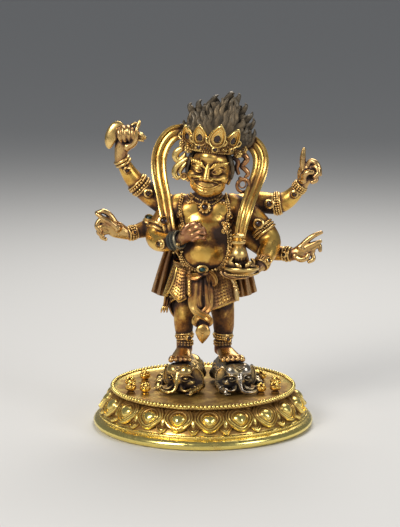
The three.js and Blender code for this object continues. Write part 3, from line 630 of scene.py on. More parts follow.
LEGS = {
    "right": [(-5.6, 1, 42, 7.4), (-6, 1, 36, 7.1), (-8, -1.4, 27.6, 6.1), (-9.4, -2.8, 20.6, 5.2),
              (-9.5, -1.6, 14, 4.6), (-9, -1.5, 8, 3.5), (-9, -1.5, 3.4, 3.4)],
    "left": [(7, 1, 42, 7.7), (7.4, 1, 36, 7.4), (9.0, -1.4, 27.6, 6.5), (10, -2.8, 20.6, 5.6),
             (10.2, -1.4, 14, 5.1), (9.8, -1, 8, 3.8), (9.8, -1, 3.4, 3.8)],
}
parts = [ball(form[:3], form[3:], sides=32, rows=20) for form in (CHEST, BELLY, HIPS)]
parts += [
    ball((-4.9, -4.9, 73.4), (7.6, 3.5, 5.6)), ball((8.1, -4.9, 73.4), (7.6, 3.5, 5.6)),
    ball((1.4, -4.4, 61.5), (13.2, 10.8, 10.5)), ball((1.4, -2.2, 68), (13.2, 8.8, 8)),
    ball((-10.6, 1.0, 75.6), (6.4, 5.6, 5.8)), ball((14, 1.0, 75.6), (6.4, 5.6, 5.8)),
    ball((-6, 7.0, 70), (8, 4.4, 9)), ball((9, 7.0, 70), (8, 4.4, 9)),
    swept([(2, 1, 74, 7.0), (2.6, -0.6, 79, 5.8), (3, -1, 84, 5.8)]),
    *[swept(line, sides=18, steps=26, dome=0.9) for line in ARM_LINES.values()],
    *[swept(line, sides=18, steps=26, dome=0.5) for line in LEGS.values()],
]
body = fused(parts, 0.55, 5)
pressed(body, (0.8, -17.2, 51.0), 1.3, 1.5)
for x in (-5.6, 9.0):
    pressed(body, (x, -9.3, 71.8), 0.9, -0.6)
pressed(body, (1.4, -9.2, 72.5), 2.8, 0.7)
for place, out in (((-9.4, -8.4, 21.4), 0.5), ((10, -8.8, 21.4), 0.5), ((-9.4, -6.6, 16.6), -0.35),
                   ((10, -7, 16.6), -0.35)):
    pressed(body, place, 3.4, -out)
on_figure(body, "figure_body", figure_gold, "figure", share=0.7)


# The six hands. Each palm and its fingers are one casting with the arm; the bracelet hides where the forms
# meet. The one that lies on the chest is worn down to the copper.
def hand(name, palm, fingers, face, metal):
    """A hand as it was laid out in wax: a palm through its stations and the fingers each through theirs."""
    parts = [swept(palm, face=face, sides=14, steps=18, dome=0.5)]
    for line in fingers:
        parts.append(swept(line, face=face, sides=10, steps=16, dome=0.85))
        parts.append(ball(line[0][:3], (line[0][3] * 1.15,) * 3, sides=12, rows=8))
    on_figure(fused(parts, 0.24, 2), f"hand_{name}", metal)


worn_copper = gilding("worn_to_copper", (0.46, 0.22, 0.11), (0.66, 0.40, 0.15), (0.05, 0.024, 0.016),
                      patch=240.0, wear=0.58, rough=0.34)
hand_gold = gilding("rubbed_hand_gilding", (0.70, 0.46, 0.18), (0.42, 0.22, 0.12), (0.045, 0.024, 0.018),
                    patch=200.0, wear=0.50, rough=0.31)
hand("right_upper", [(-40.2, 3.8, 96.6, 3.33, 2.97), (-40.4, 3.2, 100.4, 3.22, 2.75),
                     (-39.6, 2.6, 104.4, 3.91, 2.64), (-38.2, 2.2, 108.4, 4.83, 2.53),
                     (-37.5, 2.0, 111.4, 4.83, 2.09)],
     [[(-40.9, 2.0, 110.6, 1.5), (-41.2, 0.0, 113.0, 1.5), (-41.0, -2.2, 112.2, 1.4),
       (-40.6, -2.9, 109.6, 1.2), (-40.0, -1.8, 107.8, 1.0)],
      [(-38.9, 2.0, 111.4, 1.5), (-39.2, -0.2, 113.9, 1.5), (-39.0, -2.5, 113.0, 1.4),
       (-38.6, -3.2, 110.0, 1.2), (-38.0, -2.0, 107.8, 1.0)],
      [(-36.7, 2.0, 111.6, 1.5), (-36.9, -0.2, 114.0, 1.5), (-36.7, -2.5, 113.2, 1.4),
       (-36.3, -3.2, 110.2, 1.2), (-35.8, -2.0, 108.0, 1.0)],
      [(-34.6, 2.0, 110.8, 1.4), (-34.6, -0.1, 113.0, 1.4), (-34.4, -2.2, 112.2, 1.3),
       (-34.1, -2.8, 109.6, 1.1), (-33.9, -1.7, 108.0, 0.95)],
      [(-37.0, -0.4, 104.6, 1.9), (-34.0, -2.0, 106.2, 1.6), (-32.6, -3.0, 109.4, 1.3),
       (-32.4, -3.2, 112.6, 1.0), (-32.2, -3.0, 114.4, 0.8)]], (0, -1, 0), hand_gold)
hand("right_lower", [(-35.4, 1.2, 61.4, 3.45, 2.86), (-38.6, 0.2, 61.8, 3.33, 2.75),
                     (-42.4, -1.5, 63.6, 4.25, 2.31), (-45.4, -2.4, 65.0, 3.79, 1.98)],
     [[(-43.0, -2.2, 66.4, 1.8), (-45.5, -2.6, 70.6, 1.56), (-48.8, -2.8, 72.9, 1.38),
       (-52.4, -2.7, 72.2, 1.02)],
      [(-47.0, -1.8, 65.4, 2.2), (-48.6, -2.8, 64.4, 2.0), (-48.0, -2.4, 62.8, 1.7)],
      [(-42.0, -3.4, 64.8, 1.8), (-46.0, -4.2, 68.0, 1.5), (-49.4, -4.2, 70.0, 1.26),
       (-52.2, -3.6, 71.8, 0.96)],
      [(-46.2, -3.0, 66.8, 1.56), (-50.4, -3.6, 68.6, 1.44), (-52.2, -4.2, 65.8, 1.26),
       (-50.4, -4.6, 63.4, 1.08)],
      [(-45.8, -2.8, 64.8, 1.56), (-49.7, -3.6, 65.6, 1.38), (-51.4, -4.4, 62.8, 1.2),
       (-49.4, -4.8, 61.1, 1.02)],
      [(-44.8, -2.2, 62.7, 1.44), (-48.3, -3.2, 62.5, 1.26), (-50.0, -4.0, 60.5, 1.14),
       (-47.8, -4.4, 59.3, 0.96)]], (0, -1, 0), hand_gold)
hand("left_upper", [(48.2, 4.2, 84.2, 3.33, 2.97), (49.3, 3.2, 86.6, 3.22, 2.64),
                    (50.6, 1.6, 90.4, 4.48, 2.31), (51.3, 1.0, 93.6, 4.25, 1.98)],
     [[(49.5, 0.6, 93.0, 1.8), (48.9, 0.2, 97.0, 1.62), (49.0, 0.0, 100.4, 1.38),
       (49.4, -0.2, 103.4, 0.96)],
      [(51.3, 0.4, 94.0, 1.68), (52.6, -0.4, 97.2, 1.5), (55.0, -1.6, 97.0, 1.38),
       (56.8, -2.0, 94.2, 1.26), (57.4, -2.0, 91.0, 0.96)],
      [(53.0, 0.2, 93.2, 1.68), (55.3, -1.6, 94.9, 1.5), (56.4, -2.8, 92.2, 1.32),
       (54.6, -3.2, 90.0, 1.14)],
      [(53.4, 0.2, 90.8, 1.56), (55.0, -1.8, 91.2, 1.32), (55.4, -2.8, 88.4, 1.2),
       (53.4, -3.0, 87.4, 1.02)],
      [(53.6, 0.6, 93.6, 2.2), (54.4, -0.4, 91.6, 2.2), (54.0, 0.2, 89.8, 1.8)],
      [(49.0, -0.4, 88.2, 1.8), (49.6, -2.6, 90.8, 1.56), (51.4, -3.6, 92.4, 1.38),
       (53.6, -3.8, 92.4, 1.14)]], (0, -1, 0), hand_gold)
hand("left_lower", [(42.6, 0.6, 51.0, 3.45, 2.97), (45.2, -0.6, 51.3, 3.22, 2.53),
                    (48.0, -1.6, 52.2, 3.91, 2.09), (50.2, -2.0, 53.2, 3.56, 1.76)],
     [[(48.0, -2.2, 54.9, 1.62), (51.2, -2.8, 58.4, 1.44), (54.6, -3.2, 61.0, 1.26),
       (58.3, -3.4, 62.6, 0.9)],
      [(49.6, -2.4, 54.2, 1.62), (52.4, -3.0, 55.8, 1.44), (55.2, -3.4, 57.2, 1.26),
       (57.9, -3.6, 58.2, 0.9)],
      [(51.0, -2.4, 52.6, 1.56), (54.2, -3.0, 54.5, 1.32), (57.2, -3.4, 56.2, 1.2),
       (57.7, -4.0, 53.6, 0.96)],
      [(50.2, -2.2, 51.2, 1.5), (53.4, -2.8, 51.9, 1.32), (54.4, -3.6, 49.4, 1.2),
       (52.2, -3.8, 48.0, 1.02)],
      [(50.6, -1.6, 54.0, 2.2), (52.8, -2.2, 54.4, 2.0), (54.0, -2.6, 53.0, 1.6)],
      [(45.6, -2.4, 50.6, 1.8), (48.3, -4.0, 49.2, 1.56), (50.9, -4.4, 50.0, 1.38),
       (52.0, -4.2, 51.8, 1.08)]], (0, -1, 0.2), hand_gold)
hand("right_middle", [(-12.4, -16.6, 60.2, 3.0, 2.8), (-9.8, -18.0, 62.4, 3.1, 2.3),
                      (-7.2, -19.2, 64.2, 4.1, 1.9), (-5.6, -19.6, 65.4, 4.1, 1.6)],
     [[(-7.2, -19.8, 67.8, 1.25), (-4.8, -21.0, 69.6, 1.2), (-2.4, -21.2, 69.6, 1.1),
       (-0.9, -20.2, 68.2, 0.95)],
      [(-6.0, -20.2, 66.0, 1.3), (-3.2, -21.4, 67.8, 1.25), (-0.4, -21.6, 67.6, 1.15),
       (0.9, -20.6, 66.2, 0.95)],
      [(-5.0, -20.2, 63.8, 1.3), (-2.2, -21.4, 65.4, 1.25), (0.4, -21.5, 65.2, 1.15),
       (1.5, -20.4, 64.0, 0.95)],
      [(-4.8, -19.8, 61.8, 1.15), (-2.2, -20.9, 62.9, 1.1), (-0.0, -20.9, 62.7, 1.0),
       (1.0, -20.0, 61.7, 0.85)],
      [(-9.6, -19.6, 65.2, 1.5), (-8.6, -20.8, 67.6, 1.25), (-6.6, -21.2, 69.4, 1.0)]], (0.2, -1, 0),
      worn_copper)
hand("left_middle", [(28.0, -17.0, 48.8, 3.0, 2.8), (26.0, -19.0, 47.2, 2.8, 2.2),
                     (23.0, -21.0, 45.6, 3.8, 1.6), (19.6, -22.4, 44.8, 3.8, 1.4)],
     [[(20.0, -25.0, 44.8, 1.3), (16.4, -27.0, 44.8, 1.2), (12.8, -28.0, 45.6, 1.1),
       (10.6, -28.0, 46.8, 0.9)],
      [(19.0, -23.0, 44.4, 1.3), (14.6, -24.4, 44.0, 1.25), (10.6, -25.0, 45.0, 1.1),
       (8.8, -24.8, 46.6, 0.9)],
      [(18.6, -21.0, 44.2, 1.3), (14.6, -21.6, 43.8, 1.2), (11.0, -21.8, 44.8, 1.1),
       (9.2, -21.8, 46.4, 0.9)],
      [(19.0, -19.0, 44.4, 1.2), (15.4, -19.0, 44.2, 1.1), (12.4, -19.0, 45.0, 1.0),
       (10.8, -19.0, 46.4, 0.85)],
      [(25.6, -21.4, 47.4, 1.5), (25.8, -24.4, 48.4, 1.3), (24.6, -26.8, 49.6, 1.1),
       (23.0, -28.4, 50.2, 0.9)]], (0, 0, 1), hand_gold)


# The feet, bare and broad, with five round toes each, each standing on an elephant's back. Cast in one with
# the legs and gilt, and rubbed to red copper over the instep.
foot_copper = gilding("rubbed_foot_gilding", (0.78, 0.50, 0.19), (0.44, 0.18, 0.09), (0.05, 0.026, 0.016),
                      patch=150.0, wear=0.50, rough=0.31, start=0.30, full=0.70)
for name, ankle, toes, fat in (("right", (-9.3, -1.5), (-10.9, -13.4), 1.10),
                               ("left", (9.8, -1), (14.0, -13.2), 1.16)):
    way = unit((toes[0] - ankle[0], toes[1] - ankle[1], 0))
    out = np.array((-way[1], way[0], 0)) * (1 if name == "left" else -1)
    heel = np.array((ankle[0], ankle[1], 0)) - way * 2.4
    tip = np.array((toes[0], toes[1], 0))

    def at(t, h):
        """A place on the way from heel to toes, at a height."""
        return tuple(heel + (tip - heel) * t + np.array((0, 0, h)))

    parts = [
        swept([(*at(0, 2.3), 3.2 * fat, 2.5), (*at(0.35, 3.0), 3.6 * fat, 3.2),
               (*at(0.7, 2.2), 4.4 * fat, 2.3), (*at(0.95, 1.5), 4.7 * fat, 1.6)],
              face=(0, 0, 1), sides=18, steps=18),
        swept([(ankle[0], ankle[1], 7, 3.6 * fat), (ankle[0], ankle[1] - 0.6, 3.0, 3.7 * fat)]),
        ball((*(heel[:2]), 2.2), (2.9, 2.9, 2.2)),
    ]
    parts = [fused(parts, 0.3, 3)]
    for i in range(5):
        across = (i - 2) * 2.05 * fat
        reach = 1.5 - 0.32 * i + (0.3 if i == 0 else 0)
        root = tip - out * across + np.array((0, 0, 1.4))
        wide = (1.32 if i == 0 else 1.08) * fat
        parts.append(swept([(*(root - way * 1.4), wide * 0.85),
                            (*(root + way * reach * 0.5 + np.array((0, 0, 0.15))), wide * 0.92),
                            (*(root + way * (reach + 0.9) - np.array((0, 0, 0.35))), wide)],
                           sides=12, steps=9, dome=0.85))
        parts.append(ball(tuple(root + way * (reach + 1.5) + np.array((0, 0, 0.35))),
                          (0.5 * fat, 0.5, 0.3), sides=10, rows=6))
    foot = fused(parts, 0.24, 1)
    for v in foot.data.vertices:
        if v.co.y > -12:
            v.co.z = max(0.0, v.co.z)
    on_figure(foot, f"foot_{name}", foot_copper)


# The head: a broad, round wrathful face turned a little to the figure's right, with a domed forehead,
# bulging eyes under flame-like brows, a third eye on the forehead, heavy cheeks, a short nose and a wide
# closed mouth. Cast in one with the body and gilt, the fine lines cut in afterwards.
face_gold = gilding("face_gilding", (0.78, 0.50, 0.14), (0.46, 0.22, 0.08), (0.06, 0.03, 0.016), wear=0.55,
                    rough=0.34, start=0.46, full=1.15)
HEAD_PLACE = (Matrix.Translation((3.4, -3, 92.6)) @ Matrix.Rotation(math.radians(-9), 4, "Z")
              @ Matrix.Rotation(math.radians(7), 4, "Y"))
parts = [
    ball((0, 0.6, 0.8), (10.0, 10.2, 11.2), sides=36, rows=24),
    ball((0, -4.4, 6.2), (8.4, 5.8, 5.6), sides=28, rows=16),
    ball((-0.6, -6.6, 8.2), (5.4, 4.8, 3.8)),
    ball((0, -3.6, -5.6), (8.9, 6.6, 6.0), sides=28, rows=16),
    ball((0, -6.8, -9.0), (4.6, 3.2, 2.6)),
    ball((0, -7.6, -5.9), (6.0, 3.0, 3.2)),
    ball((0, -8.4, -4.6), (4.4, 2.2, 1.8)),
    *[ball((side * 5.6, -6.0, -1.8), (4.6, 3.8, 3.4)) for side in (-1, 1)],
]
head = fused(parts, 0.34, 8)
for side in (-1, 1):  # eye hollows, and the hollows under the cheek ridges
    pressed(head, (side * 4.8, -9.6, 2.2), 3.2, 0.9)
    pressed(head, (side * 7.6, -6.6, 2.6), 2.6, 0.4)
    pressed(head, (side * 6.2, -8.8, -3.9), 2.8, 1.0)
parts = [
    head,
    swept([(0, -9.6, 4.0, 1.2), (0, -10.4, 1.6, 1.5), (0, -11.4, -1.2, 1.8)], sides=12, steps=14),
    ball((0, -11.9, -2.0), (2.0, 1.7, 1.4), sides=16, rows=10),
    swept([(-6.6, -7.8, -4.4, 0.3), (-3.4, -10.1, -6.3, 0.6), (0, -10.9, -7.0, 0.65),
           (3.4, -10.1, -6.3, 0.6), (6.6, -7.8, -4.4, 0.3)], sides=10, steps=30),
    swept([(-6.1, -7.7, -5.4, 0.3), (-3.2, -9.8, -7.8, 0.6), (0, -10.6, -8.6, 0.75),
           (3.2, -9.8, -7.8, 0.6), (6.1, -7.7, -5.4, 0.3)], sides=10, steps=30),
    swept([(-5.6, -7.2, -6.8, 0.25), (-2.9, -8.8, -9.2, 0.45), (0, -9.4, -10.1, 0.5),
           (2.9, -8.8, -9.2, 0.45), (5.6, -7.2, -6.8, 0.25)], sides=8, steps=26),
    ball((0, -9.9, 6.6), (0.75, 0.7, 1.25), sides=12, rows=10),
    swept([(0, -10.0, 8.3, 0.2), (0.95, -10.2, 6.7, 0.32), (0, -10.3, 4.9, 0.2)], sides=8, steps=12),
    swept([(0, -10.0, 8.3, 0.2), (-0.95, -10.2, 6.7, 0.32), (0, -10.3, 4.9, 0.2)], sides=8, steps=12),
]
for side in (-1, 1):
    parts += [
        ball((side * 2.1, -11.1, -2.4), (1.4, 1.3, 1.0), sides=12, rows=8),
        ball((side * 4.8, -9.0, 2.0), (2.3, 1.6, 1.4), (0, -side * 10, 0), sides=16, rows=10),
        ball((side * 4.9, -10.4, 2.0), (0.65, 0.35, 0.65), sides=10, rows=6),
    ]
    for line, sides, steps in (  # the two lids, brow, nostril fold, fold of the cheek, ear and its rim
        ([(2.2, -10.3, 1.3, 0.3), (3.5, -10.6, 2.7, 0.42), (5.1, -10.4, 3.5, 0.46), (6.8, -9.4, 3.4, 0.4),
          (7.8, -8.2, 2.8, 0.25)], 8, 22),
        ([(2.2, -10.4, 1.1, 0.25), (3.7, -10.6, 0.6, 0.38), (5.4, -10.1, 0.8, 0.4),
          (7.0, -8.8, 1.9, 0.25)], 8, 20),
        ([(1.2, -10.7, 2.9, 0.5), (2.9, -10.7, 4.0, 0.75), (5.1, -10.0, 4.9, 0.8), (7.3, -8.4, 4.8, 0.6),
          (8.6, -6.6, 3.8, 0.4), (8.2, -7.0, 3.0, 0.25)], 10, 26),
        ([(1.9, -11.1, -1.1, 0.3), (4.2, -10.6, -1.7, 0.7), (6.8, -9.0, -1.6, 0.85),
          (8.8, -6.6, -0.6, 0.5)], 10, 22),
        ([(3.0, -10.6, -3.0, 0.3), (5.2, -9.4, -3.4, 0.4), (7.2, -7.4, -4.8, 0.45),
          (7.0, -6.8, -7.0, 0.25)], 8, 20),
        ([(9.2, 1.4, 4.0, 0.8, 1.6), (10.2, 1.2, 1.4, 0.9, 2.0), (10.2, 1.0, -1.8, 0.8, 1.4),
          (9.5, 0.8, -4.6, 0.8, 1.1)], 14, 30),
        ([(10.4, -0.4, 3.6, 0.4), (11.2, 1.0, 1.8, 0.45), (11.0, 0.6, -1.6, 0.4),
          (10.2, -0.4, -2.4, 0.35)], 8, 20),
    ):
        parts.append(swept(sided(side, line), sides=sides, steps=steps))
    for i in range(6):  # the brow's flames, swept up and outwards
        x = 2.4 + 1.15 * i
        parts.append(swept(sided(side, [(x, -10.9 + 0.06 * i * i, 4.0 + 0.20 * i, 0.36),
                                        (x + 0.5, -10.9 + 0.08 * i * i, 5.1 + 0.20 * i, 0.40),
                                        (x + 1.4, -10.3 + 0.09 * i * i, 6.1 + 0.16 * i, 0.28),
                                        (x + 1.8, -9.9 + 0.1 * i * i, 6.8 + 0.12 * i, 0.1)]),
                           sides=7, steps=12))
head = fused(parts, 0.24, 2)
for side in (-1, 1):
    pressed(head, (side * 1.4, -12.2, -3.3), 0.5, 0.4)
    pressed(head, (side * 6.4, -8.4, -3.2), 1.6, 0.6)
pressed(head, (0, -11.4, -7.8), 1.2, 0.3)
head.data.transform(HEAD_PLACE)
on_figure(head, "head", face_gold, share=0.75)


# The crown: a gilt band of beads and round settings, cast with the head, with five pointed leaves standing
# on it. Each leaf has a turned-over rim, a chased edge line and a drop-shaped socket whose stone is lost or
# dark.
CROWN_PLACE = Matrix.Translation((3.2, -1.6, 104.2)) @ Matrix.Rotation(math.radians(7), 4, "Y")
crown_gold = gilding("crown_gilding", (0.92, 0.66, 0.23), (0.58, 0.31, 0.10), (0.06, 0.03, 0.014),
                     wear=0.58, start=0.66, full=1.2, dull=0.40)
dark_stone = bpy.data.materials.new("dark_set_stone")
dark_stone.use_nodes = True
stone_nodes, stone_links = dark_stone.node_tree.nodes, dark_stone.node_tree.links
speck = stone_nodes.new("ShaderNodeTexNoise")
speck.inputs["Scale"].default_value = 900
where = stone_nodes.new("ShaderNodeTexCoord")
stone_links.new(where.outputs["Object"], speck.inputs["Vector"])
tint = stone_nodes.new("ShaderNodeValToRGB")
tint.color_ramp.elements[0].position, tint.color_ramp.elements[1].position = 0.35, 0.75
tint.color_ramp.elements[0].color = (0.012, 0.008, 0.010, 1)
tint.color_ramp.elements[1].color = (0.075, 0.032, 0.022, 1)
stone_links.new(speck.outputs["Fac"], tint.inputs["Fac"])
stone_links.new(tint.outputs["Color"], stone_nodes["Principled BSDF"].inputs["Base Color"])
stone_nodes["Principled BSDF"].inputs["Roughness"].default_value = 0.18


def leaf_outline(sides=28):
    """A leaf that swells low down and ends in a point, base at the origin."""
    points = []
    for i in range(sides):
        a = 2 * math.pi * i / sides
        up = (1 - math.cos(a)) / 2
        wide = 4.3 * max(up, 0.004) ** 0.42 * (1 - up) ** 0.80 / 0.464
        points.append((math.copysign(wide, math.sin(a)) if 0 < i != sides / 2 else 0, 12.4 * up))
    return points


def crown_leaf(scale=1.0):
    """One leaf: its outline is drawn in ring by ring, as rim, trough, inner bead and socket."""
    cleared()
    outline = leaf_outline()
    bpy.ops.mesh.primitive_circle_add(vertices=len(outline), radius=1, fill_type="NGON")
    o = bpy.context.object
    for v, (x, z) in zip(o.data.vertices, outline):
        v.co = (x, z, 0)
    drawn_in(o, [(1.02, 0.9), (0.98, 1.5), (0.90, 1.7), (0.82, 1.45), (0.79, 0.75), (0.74, 0.7),
                 (0.72, 1.0), (0.66, 1.1), (0.63, 0.8), (0.53, 0.9), (0.50, 1.35), (0.45, 1.4),
                 (0.42, 0.5), (0.10, 0.45)], (0, 4.9))
    o.data.transform(Matrix.Rotation(math.radians(90), 4, "X"))
    for v in o.data.vertices:
        v.co.y += 0.045 * v.co.x ** 2 - 0.010 * v.co.z ** 2
    o.data.transform(Matrix.Scale(scale, 4))
    return o


def setting(radius):
    """A round box setting with a rolled foot and lip."""
    return spun([(0, 0), (radius * 1.25, 0), (radius * 1.3, 0.35), (radius, 0.5), (radius, 1.25),
                 (radius * 0.86, 1.4), (radius * 0.74, 1.25), (radius * 0.7, 0.75), (0, 0.7)], steps=18)


def moved(o, matrix):
    """The piece, with its mesh put in its place."""
    o.data.transform(matrix)
    return o


band = spun([(10.6, -0.6), (11.2, -0.8), (11.7, -0.5), (11.8, 0.0), (11.5, 0.4), (11.6, 1.4), (11.9, 1.8),
             (11.8, 2.3), (11.2, 2.5), (10.6, 2.2)], steps=72, sides_open=True)
parts = [band, copies(bead(), [
    Matrix.Translation((11.9 * math.sin(a), -11.9 * math.cos(a), h))
    @ Matrix.Diagonal((0.58, 0.58, 0.58, 1)) for h in (-0.8, 2.5)
    for a in np.linspace(-math.pi, math.pi, 66, endpoint=False)])]
stones = []
for azimuth, size, turned, lean in ((-68, 0.74, 34, 0), (-26, 0.90, 8, 0), (11, 1.02, 0, 5),
                                    (56, 0.86, -24, 4), (100, 0.76, 0, 0)):
    a = math.radians(azimuth)
    stand = (Matrix.Rotation(a, 4, "Z") @ Matrix.Translation((0, -11.4, 1.6))
             @ Matrix.Rotation(math.radians(11), 4, "X")
             @ Matrix.Rotation(math.radians(turned), 4, "Z") @ Matrix.Rotation(math.radians(lean), 4, "Y"))
    parts.append(moved(crown_leaf(size), stand))
    drop = ball((0, 0, 0), (1.75 * size, 0.4, 2.5 * size), sides=16, rows=10)
    for v in drop.data.vertices:
        v.co.x *= 1 - 0.45 * max(0, v.co.z / (2.5 * size))
    stones.append(moved(drop, stand @ Matrix.Translation((0, -0.62, 5.0 * size))))
    for off, wide in ((0, 1.5), (-21, 0.85), (21, 0.85)):
        face_out = (Matrix.Rotation(a + math.radians(off), 4, "Z") @ Matrix.Translation((0, -11.9, 0.9))
                    @ Matrix.Rotation(math.radians(90), 4, "X"))
        parts.append(moved(setting(wide), face_out))
        stones.append(moved(ball((0, 0, 0.8), (wide * 0.72, wide * 0.72, 0.4), sides=12, rows=6), face_out))
    for side in (-1, 1):  # a small scroll beside each leaf's foot
        parts.append(moved(swept(sided(side, [(2.6, -0.4, 1.4, 0.5), (4.4, -0.4, 2.2, 0.62),
                                              (5.2, -0.3, 3.8, 0.5), (4.2, -0.3, 4.6, 0.36),
                                              (3.8, -0.4, 3.6, 0.3)]), sides=8, steps=16), stand))
crown = joined(parts)
crown.data.transform(CROWN_PLACE)
on_figure(crown, "crown", crown_gold)
stones = joined(stones)
stones.data.transform(CROWN_PLACE)
on_figure(stones, "crown_stones", dark_stone)


# The hair: flame-like locks swept up from the crown, cast as one leaning fan. It was painted, not gilt, and
# is now a dull grey-brown, with the metal showing faintly on the ridges.
hair_dark = gilding("dark_painted_hair", (0.165, 0.140, 0.105), (0.27, 0.20, 0.12), (0.024, 0.023, 0.021),
                    patch=110.0, wear=0.48, rough=0.50, pits=0.7, start=0.46, full=1.15)
HAIR_EDGE = [(-10.4, 107), (-9.8, 112.6), (-8.2, 117.6), (-6.8, 122.6), (-3.4, 125.6), (1.2, 127.4),
             (5.4, 129.0), (9.6, 129.6), (13.4, 130.8), (16.8, 129.6), (18.6, 126.0), (21.0, 121.8),
             (23.6, 117.0), (24.4, 112.6), (24.0, 109.0), (21.8, 106.0)]
EDGE_STEPS = 200
edge = smooth_line([(x, 0, z) for x, z in HAIR_EDGE], EDGE_STEPS)
LAST = EDGE_STEPS - 1
fluted = [(math.cos(a) * (1 + 0.16 * math.cos(3 * a)), math.sin(a) * (1 + 0.16 * math.cos(3 * a)))
          for a in np.linspace(0, 2 * math.pi, 12, endpoint=False)]
comb = random.Random(11)
cleared()
bpy.ops.mesh.primitive_uv_sphere_add(segments=120, ring_count=60, radius=1)
mass = bpy.context.object  # the body of the fan, with shallow waves between the locks
for v in mass.data.vertices:
    bearing = math.atan2(v.co.z, v.co.x)
    t = min(1.0, max(0.0, (math.pi * 1.06 - bearing) / (math.pi * 1.12))) if bearing > -1.6 else 1.0
    far = edge[int(t * LAST) if bearing > -0.3 or bearing < -2.9 else LAST if abs(bearing) < 1.6 else 0]
    reach = math.hypot(v.co.x, v.co.z)
    root = np.array((5.4, 109.0))
    out = np.array((far[0], far[2])) - root
    flow = bearing * 24 + 1.6 * math.sin(reach * 5 + bearing * 3)
    wave = 0.5 * math.cos(flow) * (0.3 + 0.7 * reach) + 0.25 * math.cos(flow * 2.3 + reach * 6)
    deep = 7.4 * v.co.y * (1.0 - 0.18 * reach) + math.copysign(wave, v.co.y) * min(1.0, abs(v.co.y) * 2.2)
    place_out = root + out * reach * (0.84 + 0.03 * math.cos(bearing * 17))
    low = -6.0 * max(0.0, -math.sin(bearing)) * reach
    v.co = (place_out[0], 3.6 + deep + 0.9 * reach, place_out[1] + low)
parts = [mass]
# Depth behind the face, reach to the edge, number of locks, hook of their tips.
LAYERS = ((-3.4, 0.72, 14, 0.0), (-2.2, 0.88, 17, 0.0), (0.6, 0.98, 22, 0.2), (4.4, 1.0, 22, 0.2),
          (7.8, 0.94, 17, 0.2), (10.0, 0.80, 14, 0.0), (-3.8, 0.50, 11, 0.0), (10.2, 0.54, 11, 0.0))
for depth, reach, count, hook in LAYERS:
    for i in range(count):
        t = min(1, max(0, (i + 0.5 + comb.uniform(-0.4, 0.4)) / count))
        far = edge[int(t * LAST)]
        root = np.array((4.8 + (far[0] - 6.4) * 0.5, 0, 103.6 + (far[2] - 106) * 0.12))
        tip = root + (far - root) * (reach * comb.uniform(0.92, 1.0))
        way = tip - root
        side = np.array((way[2], 0, -way[0])) / (np.linalg.norm(way) + 1e-6)
        sway, turn = comb.uniform(0.6, 1.2), comb.choice((-1, 1))
        y0, y1 = 1.0 + (depth - 2) * 0.8, depth * 0.86 + 0.8
        thick = comb.uniform(1.5, 2.1)
        points = []
        for s, k, w in ((0, 0, 1.2), (0.22, 0.8, 1.3), (0.44, -0.6, 1.25), (0.64, 0.7, 1.05),
                        (0.8, -0.4, 0.8), (0.9, 0.2, 0.52), (0.96, 0.8 * (1 + hook), 0.26)):
            at = root + way * s + side * (k * sway * turn)
            swell = 0.9 * math.sin(math.pi * s) * (1 if depth > 3 else -1)
            points.append((at[0], y0 + (y1 - y0) * s + swell, at[2], thick * w, thick * w * 0.6))
        parts.append(swept(points, outline=fluted, steps=20, dome=0.5))
for line, thick in (([(1, 120), (4.2, 126.4), (6.0, 128.8), (7.6, 129.6)], 1.5),
                    ([(8.5, 122), (12.0, 127.8), (13.8, 130.4), (15.4, 130.2)], 1.9),
                    ([(13.5, 121), (16.4, 126.8), (17.6, 129.2), (17.4, 130.4)], 1.5),
                    ([(16, 117), (19.4, 121.8), (21.0, 124.2), (20.6, 125.6)], 1.5),
                    ([(17.5, 113), (21.6, 118.0), (23.6, 119.6), (24.2, 121.4)], 1.6),
                    ([(19, 110), (22.8, 113.8), (24.8, 116.2), (24.6, 118.2)], 1.5),
                    ([(19.5, 106.5), (23.4, 108.4), (25.2, 110.6), (25.3, 112.8)], 1.6),
                    ([(18.5, 104.5), (22.2, 105.4), (24.2, 107.0), (25.0, 108.6)], 1.4),
                    ([(-4.5, 112), (-8.0, 114.4), (-9.4, 116.0), (-9.4, 117.4)], 1.4),
                    ([(-3.5, 118), (-6.2, 123.0), (-6.6, 124.8), (-5.6, 125.8)], 1.6),
                    ([(-1.0, 119), (-2.4, 124.6), (-1.8, 126.4), (-0.6, 127.2)], 1.5),
                    ([(-5.5, 108), (-9.0, 109.4), (-10.4, 111.0), (-10.3, 112.4)], 1.4)):
    a, b, c, d = line  # the free tips that stand out along the edge, each ending in a hook
    parts.append(swept([(a[0], 3.4, a[1], thick * 1.3, thick * 1.3), (b[0], 3.4, b[1], thick, thick),
                        (c[0], 3.4, c[1], thick * 0.62, thick * 0.7),
                        (d[0], 3.4, d[1], 0.25, 0.25)], outline=fluted, steps=16, dome=0.4))
NAPE_LOCKS = 34  # shorter locks combed up over the back of the head, from the nape to the crown
for i in range(NAPE_LOCKS):
    a = math.radians(-104 + 208 * (i + 0.5) / NAPE_LOCKS)
    c, w = math.sin(a), math.cos(a)
    sway = 0.7 * (-1) ** i
    low = 85.4 + comb.uniform(-0.6, 0.8) + 5.0 * abs(math.sin(a)) ** 3
    line = []
    for z, k in ((low, 0.2), (89.5, 0.9), (93.5, 1.0), (97.5, 0.95), (101.5, 0.8), (105, 0.6)):
        round_here = 10.9 * math.sqrt(max(0.18, 1 - ((z - 93.4) / 13.4) ** 2)) + 0.2
        lean = math.radians(sway * 9 * math.sin((z - low) * 0.5))
        line.append((3.4 + round_here * math.sin(a + lean), -2.4 + round_here * math.cos(a + lean),
                     max(low, z), 1.5 * k, 1.0 * k))
    parts.append(swept(line, face=(c, w, 0), outline=fluted, steps=18, dome=0.5))
on_figure(joined(parts), "flame_hair", hair_dark, share=0.65)


